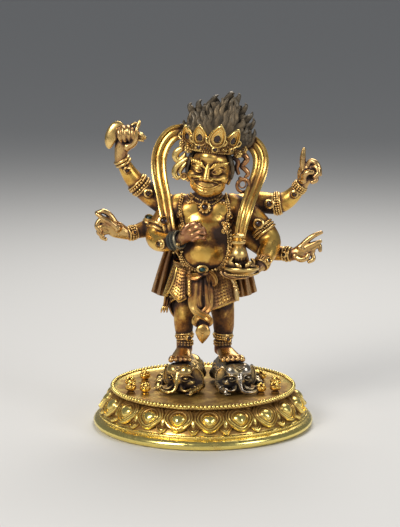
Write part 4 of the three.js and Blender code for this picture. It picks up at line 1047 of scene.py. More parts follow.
# The ear ornaments: a disc earring on the figure's right, a ring on its left, and behind each ear a ribbon
# end that curls like a flame. All are cast with the head and gilt.
flame = [(math.cos(a), math.sin(a) * (1.0 if math.sin(a) < 0 else 0.75 - 0.35 * math.cos(2 * a)))
         for a in np.linspace(0, 2 * math.pi, 14, endpoint=False)]
parts = [
    swept([(-7.5, -4.4, 104.0, 1.2, 0.9), (-10.0, -4.4, 104.2, 1.5, 1.0), (-12.5, -4.2, 102.8, 1.7, 1.0),
           (-13.5, -4.0, 100.6, 1.7, 1.0), (-12.5, -4.0, 98.6, 1.6, 1.0), (-10.5, -4.2, 98.9, 1.4, 0.9),
           (-9.2, -4.4, 100.6, 1.1, 0.8), (-8.8, -4.4, 102.0, 0.7, 0.6)], outline=flame, steps=60),
    swept([(-7.6, -4.8, 99.4, 1.2, 0.9), (-9.6, -4.8, 98.0, 1.5, 1.0), (-11.6, -4.4, 96.4, 1.6, 1.0),
           (-13.4, -4.0, 94.3, 1.6, 1.0), (-13.8, -4.0, 91.8, 1.5, 1.0), (-12.6, -4.2, 89.9, 1.2, 0.9),
           (-11.0, -4.4, 90.4, 0.7, 0.6)], outline=flame, steps=56),
    swept([(-8.2, -5.0, 97.4, 0.9, 0.8), (-9.9, -5.0, 95.2, 1.1, 0.9), (-11.2, -4.8, 92.8, 0.9, 0.8),
           (-10.4, -4.8, 91.4, 0.6, 0.5)], outline=flame, steps=26),
    ringed((-9.3, -5.0, 90.6), (-0.3, -1, 0.1), 1.5, 0.5, sides=26),
    moved(setting(1.25), Matrix.Translation((-9.2, -4.4, 90.6)) @ aimed((-0.3, -1, 0.1))),
    ball((-7.2, -4.4, 89.0), (1.0, 1.0, 1.1), sides=12, rows=8),
]
for x, y, z in ((-9.6, -5.2, 106.6), (-7.0, -7.6, 104.4), (17.0, -4.6, 101.6), (19.6, -2.4, 103.4)):
    for i in range(7):  # rosettes that end the crown's band
        a = i * math.pi / 3.5
        parts.append(ball((x + math.cos(a) * 1.45, y, z + math.sin(a) * 1.45), (0.85, 0.8, 0.85),
                          sides=10, rows=6))
    parts.append(ringed((x, y - 0.7, z), (0, -1, 0), 0.7, 0.32, sides=18))
on_figure(joined(parts), "ear_ornaments", crown_gold)
left_ear = joined([  # those on the figure's left, where the gilding has gone and the copper is dark, with painted shade for that side, which lies in shadow
    swept([(15.6, -3.0, 101.8, 1.2, 0.9), (17.6, -2.0, 101.2, 1.4, 0.9), (20.0, -1.0, 100.6, 1.5, 1.0),
           (21.5, -1.0, 98.6, 1.4, 0.9), (20.2, -1.0, 96.6, 1.3, 0.9), (18.9, -1.0, 95.0, 1.2, 0.9),
           (20.8, -1.0, 93.4, 1.3, 0.9), (22.0, -1.0, 91.4, 1.1, 0.8), (20.6, -1.0, 89.4, 0.7, 0.6)],
          outline=flame, steps=60),
    swept([(14.8, -3.4, 100.0, 1.1, 0.8), (17.0, -2.6, 97.4, 1.2, 0.8), (16.4, -2.4, 94.2, 1.1, 0.8),
           (17.4, -2.0, 91.4, 0.9, 0.7)], outline=flame, steps=24),
    ringed((19.6, -1.4, 85.6), (0.35, -1, 0.0), 3.2, 0.85, sides=32),
    ringed((19.4, -1.4, 86.2), (0.35, -1, 0.0), 1.8, 0.4, sides=26),
    ball((18.2, -1.8, 89.0), (1.0, 1.0, 1.2), sides=12, rows=8),
])
# Bared copper, made darker still as painted shade for the side away from the key light.
ear_copper_and_shade = gilding("bared_ear_copper_and_shade", (0.50, 0.26, 0.11), (0.30, 0.13, 0.07), (0.04, 0.022, 0.016),
                     wear=0.50, start=0.40, full=1.0)
on_figure(left_ear, "left_ear_ornament", ear_copper_and_shade)


# The scarf: one stiff band with turned-over edges and a pleat down its middle. It passes behind the head,
# stands away from it on both sides and comes down in front of the shoulders. Cast with the figure and
# brightly gilt.
scarf_gold = gilding("scarf_gilding", (0.88, 0.57, 0.16), (0.50, 0.23, 0.07), (0.06, 0.03, 0.015),
                     wear=0.54, dull=0.55)
pleated = []
for i in range(26):
    u = -1 + 2 * i / 25
    pleated.append((u, 0.50 + 0.42 * abs(math.cos(u * 4.4)) ** 0.6 + 0.35 * u * u))
pleated += [(1.0, 0.3), (0.9, -0.35), (0.3, -0.6), (-0.3, -0.6), (-0.9, -0.35), (-1.0, 0.3)]
LEFT_FALL = [(3, 10.5, 109.4, 3.0, 1.2), (-4, 10.2, 111, 3.4, 1.2), (-9.9, 9, 111.2, 3.7, 1.25),
             (-14.9, 8.5, 110, 3.9, 1.3), (-18.8, 8, 106, 3.9, 1.3), (-21.3, 7, 100.3, 3.8, 1.3),
             (-21.8, 6, 94.9, 3.7, 1.3), (-21, 3.5, 87.6, 3.6, 1.3), (-19.3, -1, 80.3, 3.5, 1.3),
             (-18.1, -5.6, 73.5, 3.3, 1.3), (-16.8, -8.4, 66.5, 3.0, 1.3), (-15.6, -9.6, 61, 2.7, 1.3)]
RIGHT_FALL = [(3, 10.5, 109.4, 3.0, 1.2), (12, 10.2, 109.4, 3.4, 1.2), (20, 9.5, 107.5, 3.7, 1.25),
              (25.8, 8.6, 104, 3.9, 1.3), (28.4, 7.8, 98.5, 3.9, 1.3), (28, 6.0, 92.3, 3.8, 1.3),
              (25.4, 1.8, 85.5, 3.6, 1.3), (22.6, -4.4, 79, 3.4, 1.3), (20.6, -8.2, 73.4, 3.2, 1.3),
              (19, -9.4, 67.4, 2.9, 1.3), (17.8, -9.6, 61, 2.6, 1.3)]
scarf = joined([swept(fall, outline=pleated, steps=90, dome=0.3) for fall in (LEFT_FALL, RIGHT_FALL)])
on_figure(scarf, "scarf", scarf_gold)


# The hide down the back: a stiff, deeply pleated sheet that shows at both sides of the legs. Cast thin with
# the figure; its gilding is rubbed to a brown gold.
cloth_brown = gilding("rubbed_garment_gilding", (0.44, 0.27, 0.13), (0.30, 0.16, 0.09),
                      (0.035, 0.020, 0.015), wear=0.50, patch=110.0, rough=0.32, pits=0.2)
HIDE_TOP = 66
cleared()
bpy.ops.mesh.primitive_grid_add(x_subdivisions=240, y_subdivisions=40, size=1)
hide = bpy.context.object
for v in hide.data.vertices:
    u, drop = v.co.x, 0.5 - v.co.y
    half = 15 + 11.4 * drop ** 0.8
    hem = 28.6 - 2.2 * abs(2 * u) + 5.4 * (2 * u) ** 4 - 0.4
    pleat = (0.42 * math.cos(u * 38 + 0.6) + 0.34 * math.cos(u * 97)) * (0.45 + 0.4 * drop)
    v.co = (1.4 - 0.8 * drop + u * 2 * half, 11.5 - 6 * (2 * u) ** 2 + pleat,
            HIDE_TOP + (hem - HIDE_TOP) * drop)
modified(hide, "SOLIDIFY", thickness=1.5, offset=0)
modified(hide, "BEVEL", width=0.3, segments=2, limit_method="ANGLE", angle_limit=CREASE)
on_figure(hide, "back_hide", cloth_brown, share=0.7)


# The skirt: a skin wrapped round the hips and folded over the belt, with two flaps of scaly fur hanging in
# front over the thighs, a smooth lining fold between them, and a fringe of pointed locks along its hem.
skirt_gold = gilding("skirt_gilding", (0.95, 0.66, 0.20), (0.56, 0.27, 0.09), (0.045, 0.022, 0.014),
                     wear=0.53, patch=130.0, rough=0.33, pits=0.12, start=0.58, full=1.12, dull=0.45)
SKIRT_TOP = 47.0


def hem_at(a):
    """The height of the skirt's lower edge, round the hips."""
    return 29.2 + 1.8 * math.cos(3 * a) - 2.2 * math.sin(a)


def tongues(column, row):
    """How far fur stands out that lies in overlapping rows of tongues, each swelling to its lower end."""
    row += 0.22 * math.cos(2 * math.pi * column) + 0.4
    part = row % 1
    swell = min(1.0, part * 1.3) ** 1.3 - max(0.0, part - 0.84) * 5.5
    return swell * (0.7 - 0.3 * math.cos(2 * math.pi * column))


cleared()
bpy.ops.mesh.primitive_grid_add(x_subdivisions=280, y_subdivisions=80, size=1)
skirt = bpy.context.object
for v in skirt.data.vertices:
    a = (v.co.x + 0.5) * 2 * math.pi
    drop = 0.5 - v.co.y
    low = hem_at(a) + 0.7 * abs(math.sin(a * 13)) * drop
    z = SKIRT_TOP + (low - SKIRT_TOP) * drop
    fold = 0.055 * math.cos(9 * a) * drop + 0.020 * math.cos(21 * a + 1) * drop
    reach = (0.93 + 0.22 * drop ** 1.1) * (1 + fold) + 0.052 * tongues(a * 9, drop * 10)
    deep = 11.4 if math.sin(a) < 0 else 8.4
    v.co = (0.2 + math.cos(a) * 14.4 * reach, 0.6 + math.sin(a) * deep * reach, z)
modified(skirt, "WELD", merge_threshold=0.01)
modified(skirt, "SOLIDIFY", thickness=0.9, offset=-1)


def flap(points, across, down, scaly, thick=0.8, point=0.0, where=0.5):
    """A hanging flap: a grid laid between four corners, its face raised in rows of small overlapping
    tongues that run parallel with a pointed hem."""
    cleared()
    bpy.ops.mesh.primitive_grid_add(x_subdivisions=across, y_subdivisions=down, size=1)
    o = bpy.context.object
    a, b, c, d = (np.array(p, float) for p in points)  # top left, top right, bottom right, bottom left
    for v in o.data.vertices:
        u, t = v.co.x + 0.5, 0.5 - v.co.y
        place = (a * (1 - u) + b * u) * (1 - t) + (d * (1 - u) + c * u) * t
        vee = point * t * max(0.0, 1 - abs(u - where) / max(where, 1 - where))
        bulge = 1.8 * math.sin(math.pi * u) * (0.4 + 0.6 * t)
        scale = tongues(u * scaly[0], t * scaly[1])
        edge = 0.4 if 0.02 < min(u, 1 - u) < 0.07 or t > 0.97 else 0.0
        v.co = (place[0], place[1] - bulge - 0.85 * scale * (0.07 < u < 0.93) * (t < 0.97) - edge,
                place[2] - vee)
    modified(o, "SOLIDIFY", thickness=thick, offset=-1)
    return o


def lock(x, y, z, long, lean):
    """A short pointed lock of fur at a hem."""
    return swept([(x, y, z, 0.62, 0.5), (x + lean * 0.5, y - 0.35, z - long * 0.5, 0.55, 0.45),
                  (x + lean, y - 0.1, z - long, 0.12, 0.12)], sides=7, steps=6, dome=0.4)


parts = [
    skirt,
    flap([(-13.0, -9.6, 46.4), (-8.4, -12.6, 45.4), (-8.4, -13.6, 33.0), (-16.4, -9.4, 34.6)], 54, 90,
         (6, 9), point=3.2, where=0.55),
    flap([(-8.0, -12.6, 45), (-5.4, -13.6, 44), (-5.2, -14.0, 33.2), (-8.2, -13.4, 34.0)], 20, 80,
         (2, 8), 0.8, point=0.8),
    flap([(-14.8, -6.4, 47), (-12.4, -9.4, 46.5), (-16.4, -8.8, 34.0), (-20.0, -5.0, 31.6)], 30, 90,
         (3, 9), 0.9, point=1.2),
    flap([(4.0, -12.6, 44.5), (13.4, -8.4, 45), (17.0, -8.0, 31.4), (4.4, -13.6, 27.2)], 72, 110,
         (8, 10), point=1.0, where=0.1),
    swept([(-12.8, -10.4, 46.4, 0.5), (-14.0, -10.6, 41.0, 0.6), (-16.4, -9.8, 35.0, 0.55),
           (-19.0, -7.4, 31.0, 0.4)], sides=8, steps=30),
    swept([(3.8, -13.4, 44.0, 0.6), (3.0, -14.0, 38.0, 0.6), (3.4, -14.4, 31.0, 0.6),
           (4.4, -14.2, 26.4, 0.4)], sides=8, steps=30),
]
for i in range(14):
    t = i / 13
    vee = 3.2 * (1 - abs(t - 0.55) / 0.55)
    parts.append(lock(-16.0 + 7.6 * t, -10.2 - 3.4 * t, 34.4 - 1.5 * t - max(0, vee), 1.5, 0.2 - 0.4 * t))
for i in range(20):
    t = i / 19
    parts.append(lock(4.6 + 12.4 * t, -14.2 + 5.4 * t ** 1.5, 27.2 + 4.1 * t, 1.8, -0.5 + t))
for i in range(64):
    a = (i + 0.5) * 2 * math.pi / 64
    parts.append(lock(0.2 + math.cos(a) * 16.4, 0.6 + math.sin(a) * (13.0 if math.sin(a) < 0 else 9.6),
                      hem_at(a) + 0.6, 2.0, 0.5 * math.cos(a)))
on_figure(joined(parts), "skirt", skirt_gold, share=0.5)


# The sash: a cloth band knotted in front, its two ends twisted and falling between the legs to a leaf-
# shaped tip, and the hide's hanging paws at the right hip. Cast with the skirt, and its gilding is thin.
flat = [(math.cos(a), math.sin(a) * (1 + 0.55 * math.cos(6 * math.acos(max(-1, min(1, math.cos(a)))))))
        for a in np.linspace(0, 2 * math.pi, 24, endpoint=False)]
parts = [
    ball((1.2, -14.4, 44.2), (2.4, 1.6, 1.5), sides=16, rows=10),
    swept([(1.6, -14.6, 44.6, 1.2, 0.7), (4.0, -15.0, 43.0, 2.0, 0.9), (5.4, -14.8, 40.2, 1.9, 0.9),
           (5.2, -14.6, 38.0, 0.9, 0.5)], outline=flat, steps=30),
    swept([(2.0, -14.8, 44.0, 0.9, 0.6), (2.8, -15.4, 41.6, 1.2, 0.7), (3.0, -15.0, 39.4, 0.7, 0.4)],
          outline=flat, steps=20),
    swept([(0.4, -14.4, 44.2, 0.9, 0.6), (-2.2, -14.8, 43.0, 1.7, 0.7), (-5.2, -14.4, 42.2, 2.0, 0.8),
           (-8.0, -13.4, 43.2, 0.8, 0.5)], outline=flat, steps=34),
    swept([(-3.8, -13.4, 41, 2.2, 0.55), (-4.6, -13.8, 36.0, 2.4, 0.6), (-5.0, -14.0, 31.0, 2.4, 0.6),
           (-4.6, -14.2, 27.0, 2.1, 0.6), (-2.2, -15.0, 24.2, 2.0, 0.6), (1.6, -15.2, 22.4, 2.0, 0.6),
           (3.4, -14.6, 19.8, 1.6, 0.6), (1.6, -13.6, 17.4, 0.8, 0.5)], outline=flat, steps=60),
    swept([(-1.6, -13.2, 41.4, 1.9, 0.6), (-2.0, -13.4, 36.0, 2.0, 0.6), (-2.2, -13.6, 31.0, 1.8, 0.6),
           (-1.4, -13.8, 27.0, 1.4, 0.5)], outline=flat, steps=40),
    swept([(2.2, -13.4, 41.8, 1.8, 0.6), (2.8, -13.8, 36.4, 2.2, 0.6), (3.0, -14.0, 31.6, 2.2, 0.6),
           (2.8, -14.4, 27.4, 2.0, 0.6), (0.6, -14.6, 24.6, 2.0, 0.6), (-2.4, -14.6, 22.6, 2.0, 0.6),
           (-4.0, -14.2, 19.8, 1.6, 0.6), (-2.4, -13.4, 17.4, 0.8, 0.5)], outline=flat, steps=54),
    swept([(0.4, -12.4, 42.0, 2.4, 0.5), (0.2, -12.6, 34.0, 3.4, 0.5), (-0.2, -12.8, 27.0, 3.4, 0.5),
           (-0.2, -13.2, 20.0, 3.0, 0.5), (-0.2, -13.6, 16.0, 2.0, 0.5)], outline=flat, steps=40),
    swept([(-0.4, -14.2, 19.0, 0.6, 0.4), (-0.2, -14.8, 17.8, 2.6, 1.0), (-0.1, -14.8, 15.0, 3.7, 1.5),
           (-0.3, -14.6, 11.8, 2.4, 1.2), (-0.4, -14.2, 9.2, 0.4, 0.4)], sides=18, steps=26, dome=0.2),
]
for side in (-1, 1):  # the chased veins of the leaf-shaped tip
    for i in range(3):
        parts.append(swept([(-0.3, -16.4, 15.6 - 1.3 * i, 0.22),
                            (side * (2.2 - 0.4 * i) - 0.3, -15.9, 17.0 - 1.3 * i, 0.18)],
                           sides=6, steps=5))
for line in ([(-15.6, -3.4, 36, 1.6, 0.8), (-17.6, -2.4, 30.4, 1.5, 0.8), (-18.4, -2.0, 26.6, 1.3, 0.8),
              (-19.0, -2.0, 24.6, 1.2, 0.8)],
             [(-13.4, 1.0, 33, 1.9, 0.7), (-15.4, 1.2, 27.4, 2.1, 0.7), (-15.0, 1.4, 22.4, 1.6, 0.7),
              (-13.0, 1.6, 18.4, 0.9, 0.5)]):
    parts.append(swept(line, outline=flat, steps=30))
for i in range(3):
    parts.append(swept([(-18.6 + 0.9 * (i - 1), -2.4, 25.2, 0.6), (-19.2 + 1.3 * (i - 1), -2.8, 23.4, 0.55),
                        (-19.4 + 1.5 * (i - 1), -2.6, 22.0, 0.16)], sides=8, steps=6))
sash_gold = gilding("sash_gilding", (0.74, 0.47, 0.15), (0.40, 0.17, 0.07), (0.04, 0.02, 0.014), wear=0.50,
                    patch=160.0, rough=0.32, start=0.40, full=0.95)
on_figure(joined(parts), "sash_and_tassels", sash_gold)


# The cord and tassel at the left hip: a twisted cord with two collars and a skirt of threads, gilt paler
# than the cloth beside it and standing proud of it, so it is rubbed bright.
parts = [
    swept([(12.6, -9.6, 45.4, 0.6), (13.8, -10.2, 41.0, 0.75), (15.4, -10.0, 37.4, 0.7)],
          sides=10, steps=36, ripple=0.14, waves=9),
    ball((15.6, -10.0, 36.8), (1.3, 1.2, 0.9), sides=14, rows=8),
    ball((15.8, -10.0, 35.6), (1.0, 1.0, 0.6), sides=14, rows=8),
]
for i in range(12):
    a = i * math.pi / 6
    parts.append(swept([(x + far * math.cos(a), -10 + far * math.sin(a), z, thick)
                        for x, far, z, thick in ((15.8, 0.6, 35.4, 0.34), (16.3, 1.0, 32.6, 0.4),
                                                 (16.7, 0.9, 29.8, 0.26))], sides=7, steps=9))
tassel_gold = gilding("tassel_gilding", (0.88, 0.66, 0.30), (0.56, 0.32, 0.12), (0.05, 0.026, 0.016),
                      wear=0.58, start=0.56, full=1.2)
on_figure(joined(parts), "cord_and_tassel", tassel_gold)


# The jewellery: a double bead collar with a pendant, strands down the chest, a garland round the belly, a
# belt, and on every arm and ankle a band with a round setting. Beads and bands are cast on and chased. Most
# stones are lost, and their empty settings are floored with a dark fill, painted shade with the dirt of the
# sockets; two green-blue ones are left.
body_skin = bpy.data.objects["figure_body"].data
skin = BVHTree.FromPolygons([(v.co.x * 1000, v.co.y * 1000, v.co.z * 1000 - SOLE)
                             for v in body_skin.vertices],
                            [tuple(p.vertices) for p in body_skin.polygons])
BEAD_STEP = 1.35
LINE_STEPS = 160


def on_skin(x, z, out=0.0):
    """The place on the front of the body at a width and height, and the way the skin faces there."""
    hit, facing, _, _ = skin.ray_cast(Vector((x, -60, z)), Vector((0, 1, 0)))
    if hit is None or hit.y > 6:
        hit, facing, _, _ = skin.find_nearest(Vector((x, -12, z)))
    return hit + facing * out, facing


def strand(points, size=0.62, out=0.35, step=BEAD_STEP):
    """Bead places along a line of (width, height), laid on the body."""
    line = [on_skin(x, z, out)[0] for x, _, z in smooth_line([(x, 0, z) for x, z in points], LINE_STEPS)]
    places, gone = [], step
    for a, b in zip(line, line[1:]):
        gone += (b - a).length
        if gone >= step:
            gone = 0
            places.append(Matrix.Translation(b) @ Matrix.Scale(size, 4))
    return places


def facing_frame(at, way, size=1.0):
    """A place whose own height points that way."""
    return Matrix.Translation(at) @ aimed(way) @ Matrix.Scale(size, 4)


beads, parts, lost, green = [], [], [], []


def jewel(at, way, size, stone=None, petals=True):
    """A round setting with a ring of small petals under it, and its stone."""
    where = facing_frame(at, way, size)
    parts.append(moved(setting(1.0), where))
    for i in range(10 if petals else 0):
        a = i * math.pi / 5
        beads.append(where @ Matrix.Translation((1.35 * math.cos(a), 1.35 * math.sin(a), 0.25))
                     @ Matrix.Diagonal((0.36, 0.36, 0.3, 1)))
    (lost if stone is None else stone).append(
        moved(ball((0, 0, 0.85), (0.72, 0.72, 0.3 if stone is None else 0.6), sides=14, rows=8), where))


def band_round(line, near, rings=(-1.3, 1.3), rows=(0,), size=0.62, thick=0.5, out=0.1, jewel_size=0.0,
               way=(0, -1, 0.1), stone=None):
    """A band round a limb at the station nearest to a place: plain rings, rows of beads and a setting."""
    path = smooth_line([(*s, s[3]) if len(s) == 4 else s for s in line], LINE_STEPS)
    i = int(np.argmin(np.hypot(path[:, 0] - near[0], path[:, 2] - near[1])))
    i = min(max(i, 2), LINE_STEPS - 3)
    along, radius, at = unit(path[i + 1][:3] - path[i - 1][:3]), path[i][3] + out, path[i][:3]
    for off in rings:
        parts.append(ringed(tuple(at + along * off), tuple(along), radius, thick, sides=40))
    first = unit(np.cross(along, (0, 0, 1) if abs(along[2]) < 0.9 else (1, 0, 0)))
    second = np.cross(along, first)
    count = max(12, int(2 * math.pi * radius / (size * 1.95)))
    for off in rows:
        for k in range(count):
            a = 2 * math.pi * k / count
            p = at + along * off + (first * math.cos(a) + second * math.sin(a)) * (radius + size * 0.25)
            beads.append(Matrix.Translation(p) @ Matrix.Scale(size, 4))
    if jewel_size:
        face = unit(np.array(way, float) - along * np.dot(way, along))
        jewel(tuple(at + face * (radius - 0.1)), tuple(face), jewel_size, stone, petals=False)


def boss_on(line, near, size, **more):
    """A round setting on a limb, without a band."""
    band_round(line, near, rings=(), rows=(), jewel_size=size, **more)


beads += strand([(-7.4, 86.5), (-6, 84.6), (-1.5, 81.8), (3.5, 81.2), (7.4, 82.6), (10.4, 86.0)], 0.72)
beads += strand([(-9.2, 85.0), (-7.5, 82.6), (-4, 80.0), (0, 78.6), (4.5, 79.2), (9.0, 81.6),
                 (11.6, 85.0)], 0.62)
beads += strand([(-8.4, 81.6), (-4, 77.8), (0.6, 76.4)], 0.4, step=0.9)
beads += strand([(0.9, 76.4), (5.4, 77.4), (10.2, 80.4)], 0.4, step=0.9)
jewel(*on_skin(0.9, 75.6, 0.2), 1.9)
for x, z in ((-5.4, 79.8), (6.6, 79.4), (-8.6, 83.6), (10.6, 84.2)):
    jewel(*on_skin(x, z, 0.3), 0.72)
for line in ([(-10.6, 81), (-11.4, 77), (-11.2, 73), (-10.6, 69.4), (-9.6, 66.4)],
             [(11.4, 81), (12.4, 77), (13.0, 73), (12.0, 69), (10.8, 66.6)]):
    beads += strand(line, 0.66)
    beads += strand([(x + (0.9 if x < 0 else -0.9), z - 0.5) for x, z in line], 0.42, step=0.95)
for x, z, size in ((-11.2, 72.0, 1.05), (-10.0, 65.8, 1.2), (12.8, 71.6, 1.0), (10.8, 66.0, 1.2),
                   (11.6, 63.8, 0.8), (9.6, 64.4, 0.8), (12.0, 67.0, 0.8), (9.8, 67.6, 0.8)):
    jewel(*on_skin(x, z, 0.25), size)
GARLAND = [(-12.4, 60), (-12.6, 57.4), (-12.0, 54.4), (-9.4, 49.4), (-5.6, 45.9), (-1.0, 44.4),
           (4.6, 44.3), (8.9, 46.8), (11.9, 52.0), (12.9, 58.6), (12.6, 64.6)]
beads += strand(GARLAND, 0.85, out=0.7, step=1.6)
beads += strand([(0.6 + (x - 0.6) * 0.93, 57 + (z - 57) * 0.92) for x, z in GARLAND], 0.42, out=0.15,
                step=0.9)
parts += [swept([(*on_skin(0.6 + (x - 0.6) * k, 57 + (z - 57) * k, 0.1)[0], 0.42) for x, z in GARLAND],
                sides=8, steps=70)
          for k in (0.965, 1.045)]
beads += strand([(-13.6, 56), (-12.6, 51.6), (-10.2, 47.2), (-7.4, 43.8)], 0.62, out=0.9)
beads += strand([(-14.4, 54), (-13.4, 49.6), (-11.0, 45.2), (-8.4, 41.8)], 0.62, out=1.6)
jewel(*on_skin(-5.6, 45.4, 1.0), 1.05)
belt_stone = facing_frame((-0.3, -14.9, 46.3), (0, -1, 0.05))
parts.append(moved(setting(1.0), belt_stone @ Matrix.Diagonal((2.3, 1.5, 1.4, 1))))
green.append(moved(ball((0, 0, 1.2), (1.65, 1.05, 0.7), sides=16, rows=10), belt_stone))
for line in ([(-6, 46.6), (-3.4, 45.6)], [(3.0, 45.6), (6, 46.6)]):
    beads += strand(line, 0.8, out=1.0, step=1.5)
for i in range(64):  # the belt's beads
    a = 2 * math.pi * i / 64
    for h in (45.2, 47.6):
        deep = 11.6 if math.sin(a) < 0 else 9.2
        beads.append(Matrix.Translation((0.2 + math.cos(a) * 14.3, 0.6 + math.sin(a) * deep, h))
                     @ Matrix.Scale(0.66, 4))
belt = ringed((0, 0, 0), (0, 0, 1), 1.0, 0.062, 1.4, sides=72)
belt.data.transform(Matrix.Translation((0.2, 0.6, 46.4)) @ Matrix.Diagonal((14.2, 11.4, 14.2, 1)))
for v in belt.data.vertices:  # the belt lies closer at the back, under the hide
    v.co.y = 0.6 + (v.co.y - 0.6) * (0.8 if v.co.y > 0.6 else 1)
parts.append(belt)
arm = ARM_LINES
band_round(arm["right_upper"], (-29.3, 86.9), rings=(-2.3, 2.3), rows=(-1.0, 1.0), size=0.74, thick=0.55)
boss_on(arm["right_upper"], (-26.4, 83.0), 1.7)
band_round(arm["right_upper"], (-39.8, 96.8), rings=(-0.9, 0.9), rows=(), thick=0.75, out=0.4)
boss_on(arm["right_upper"], (-38.2, 93.0), 1.4)
band_round(arm["right_lower"], (-26.6, 63.6), jewel_size=2.1, stone=green, way=(0, -0.6, 0.9))
band_round(arm["right_lower"], (-35.0, 61.6), rings=(-1.9, 1.9), rows=(-0.7, 0.6), jewel_size=1.1)
band_round(arm["left_upper"], (36.6, 75.6), rings=(-1.7, 1.7), rows=(-0.5, 0.7))
boss_on(arm["left_upper"], (33.4, 75.6), 1.9)
band_round(arm["left_upper"], (47.8, 83.8), rings=(-1.6, 1.6), rows=(-0.5, 0.6))
boss_on(arm["left_upper"], (46.4, 81.0), 1.5)
band_round(arm["left_lower"], (41.6, 51.4), rings=(-1.6, 1.6), jewel_size=1.3)
band_round(arm["left_lower"], (31.0, 53.0), rings=(-1.4, 1.4))
band_round(arm["right_middle"], (-22.0, 64.5), rings=(-1.2, 1.2), rows=(), thick=0.8)
boss_on(arm["right_middle"], (-20.9, 67.4), 2.3)
boss_on(arm["right_middle"], (-17.2, 59.4), 2.0)
gold_parts, gold_beads, parts, beads = parts, beads, [], []
band_round(arm["right_middle"], (-13.0, 60.8), rings=(-2.2, -0.2, 2.0), rows=(-1.2, 0.9), size=0.5,
           thick=0.75, out=0.6)
greened = joined([*parts, copies(bead(), beads)])  # this one bracelet has gone green-grey all round
green_grey = gilding("green_grey_bracelet", (0.36, 0.31, 0.20), (0.22, 0.21, 0.15), (0.042, 0.044, 0.038),
                     wear=0.46, patch=200.0, rough=0.36)
on_figure(greened, "greened_bracelet", green_grey)
parts, beads = gold_parts, gold_beads
band_round(arm["left_middle"], (29.6, 63.6), rings=(-1.5, 1.5), thick=0.7)
boss_on(arm["left_middle"], (27.4, 66.2), 2.1)
band_round(arm["left_middle"], (29.0, 49.6), rings=(-1.6, 1.6), rows=(-0.4, 0.7), jewel_size=1.5,
           way=(0.7, -0.7, 0.4))
ANKLET = 6.4
for leg in LEGS.values():
    x = leg[-1][0]
    band_round(leg, (x, ANKLET), rings=(), rows=(-1.0, 0.3), size=0.72)
    band_round(leg, (x, ANKLET + 4.2), rings=(-1.2, 1.2), size=0.7)
    boss_on(leg, (x, ANKLET + 3.4), 1.5, way=(0.5, -1, 0))
parts.append(copies(bead(), beads))
jewel_gold = gilding("jewellery_gilding", (0.88, 0.60, 0.22), (0.54, 0.28, 0.10), (0.05, 0.026, 0.016),
                     wear=0.56, start=0.72, full=1.35, dull=0.35)
on_figure(joined(parts), "jewellery", jewel_gold, share=0.7)
# The empty settings are floored with a dark glossy fill: painted shade of the empty sockets, with the dirt
# in them.
on_figure(joined(lost), "empty_settings", dark_stone)
turquoise = dark_stone.copy()
turquoise.name = "green_blue_stone"
ramp = turquoise.node_tree.nodes["Color Ramp"].color_ramp
ramp.elements[0].color = (0.004, 0.026, 0.030, 1)
ramp.elements[1].color = (0.012, 0.095, 0.085, 1)
turquoise.node_tree.nodes["Principled BSDF"].inputs["Roughness"].default_value = 0.28
on_figure(joined(green), "green_stones", turquoise)


# The chopper in the upper right hand: a fan-shaped, slightly hollowed blade on a short baluster grip with a
# prong at its end. Cast with the hand and gilt paler than the rest.
pale_gold = gilding("pale_gilding", (0.84, 0.58, 0.21), (0.56, 0.31, 0.12), (0.06, 0.034, 0.018), wear=0.60,
                    rough=0.32, start=0.42, full=0.95, dull=0.45)
BLADE = [(-39.4, 115.8), (-41.4, 116.8), (-44.0, 116.2), (-46.2, 113.8), (-47.7, 110.5), (-48.0, 107.6),
         (-47.4, 105.0), (-46.0, 103.6), (-44.6, 104.6), (-43.2, 106.6), (-41.4, 108.4), (-39.6, 110.0),
         (-38.6, 112.4), (-38.4, 114.4)]
BLADE_STEPS = 60
cleared()
bpy.ops.mesh.primitive_circle_add(vertices=BLADE_STEPS, radius=1, fill_type="NGON")
blade = bpy.context.object
closed = smooth_line([(x, 0, z) for x, z in BLADE + BLADE[:1]], BLADE_STEPS + 1)[:BLADE_STEPS]
for v, (x, _, z) in zip(blade.data.vertices, closed):
    v.co = (x + 43.2, z - 110, 0)
drawn_in(blade, [(1.04, 0.35), (1.0, 0.9), (0.84, 1.5), (0.62, 1.9), (0.4, 2.05), (0.2, 2.1)])
blade.data.transform(Matrix.Translation((-43.2, 1.0, 110)) @ Matrix.Rotation(math.radians(90), 4, "X"))
parts = [
    blade,
    swept([(-42.4, 0.2, 111.4, 1.2), (-39, -0.4, 111.5, 1.2), (-36, -0.4, 111.2, 1.2),
           (-33.6, -0.2, 110.6, 1.4)], sides=12, steps=18),
    ball((-31.4, -0.1, 109.8), (3.2, 2.3, 2.2), (0, 16, 0)),
    ringed((-33.8, -0.2, 110.5), (1, 0, -0.3), 1.7, 0.5),
    swept([(-33.6, -1.6, 111.6, 0.5), (-31.4, -2.6, 111.0, 0.6), (-28.8, -1.4, 109.6, 0.5)],
          sides=8, steps=14),
    swept([(-33.8, -1.4, 109.0, 0.5), (-31.8, -2.5, 108.2, 0.6), (-29.2, -1.3, 107.6, 0.5)],
          sides=8, steps=14),
    ball((-28.8, 0, 108.9), (1.2, 1.1, 1.0), sides=12, rows=8),
    swept([(-33.4, 0, 111.4, 1.1), (-32.4, 0.1, 113.6, 1.15), (-31.4, 0.2, 116.0, 0.95),
           (-31.0, 0.2, 117.2, 0.6)], sides=10, steps=14),
    swept([(-35.2, 0.6, 113.4, 1.0), (-34.4, 0.6, 115.2, 1.0), (-32.6, 0.5, 116.0, 0.7)],
          sides=10, steps=12),
]
on_figure(joined(parts), "chopper", pale_gold)


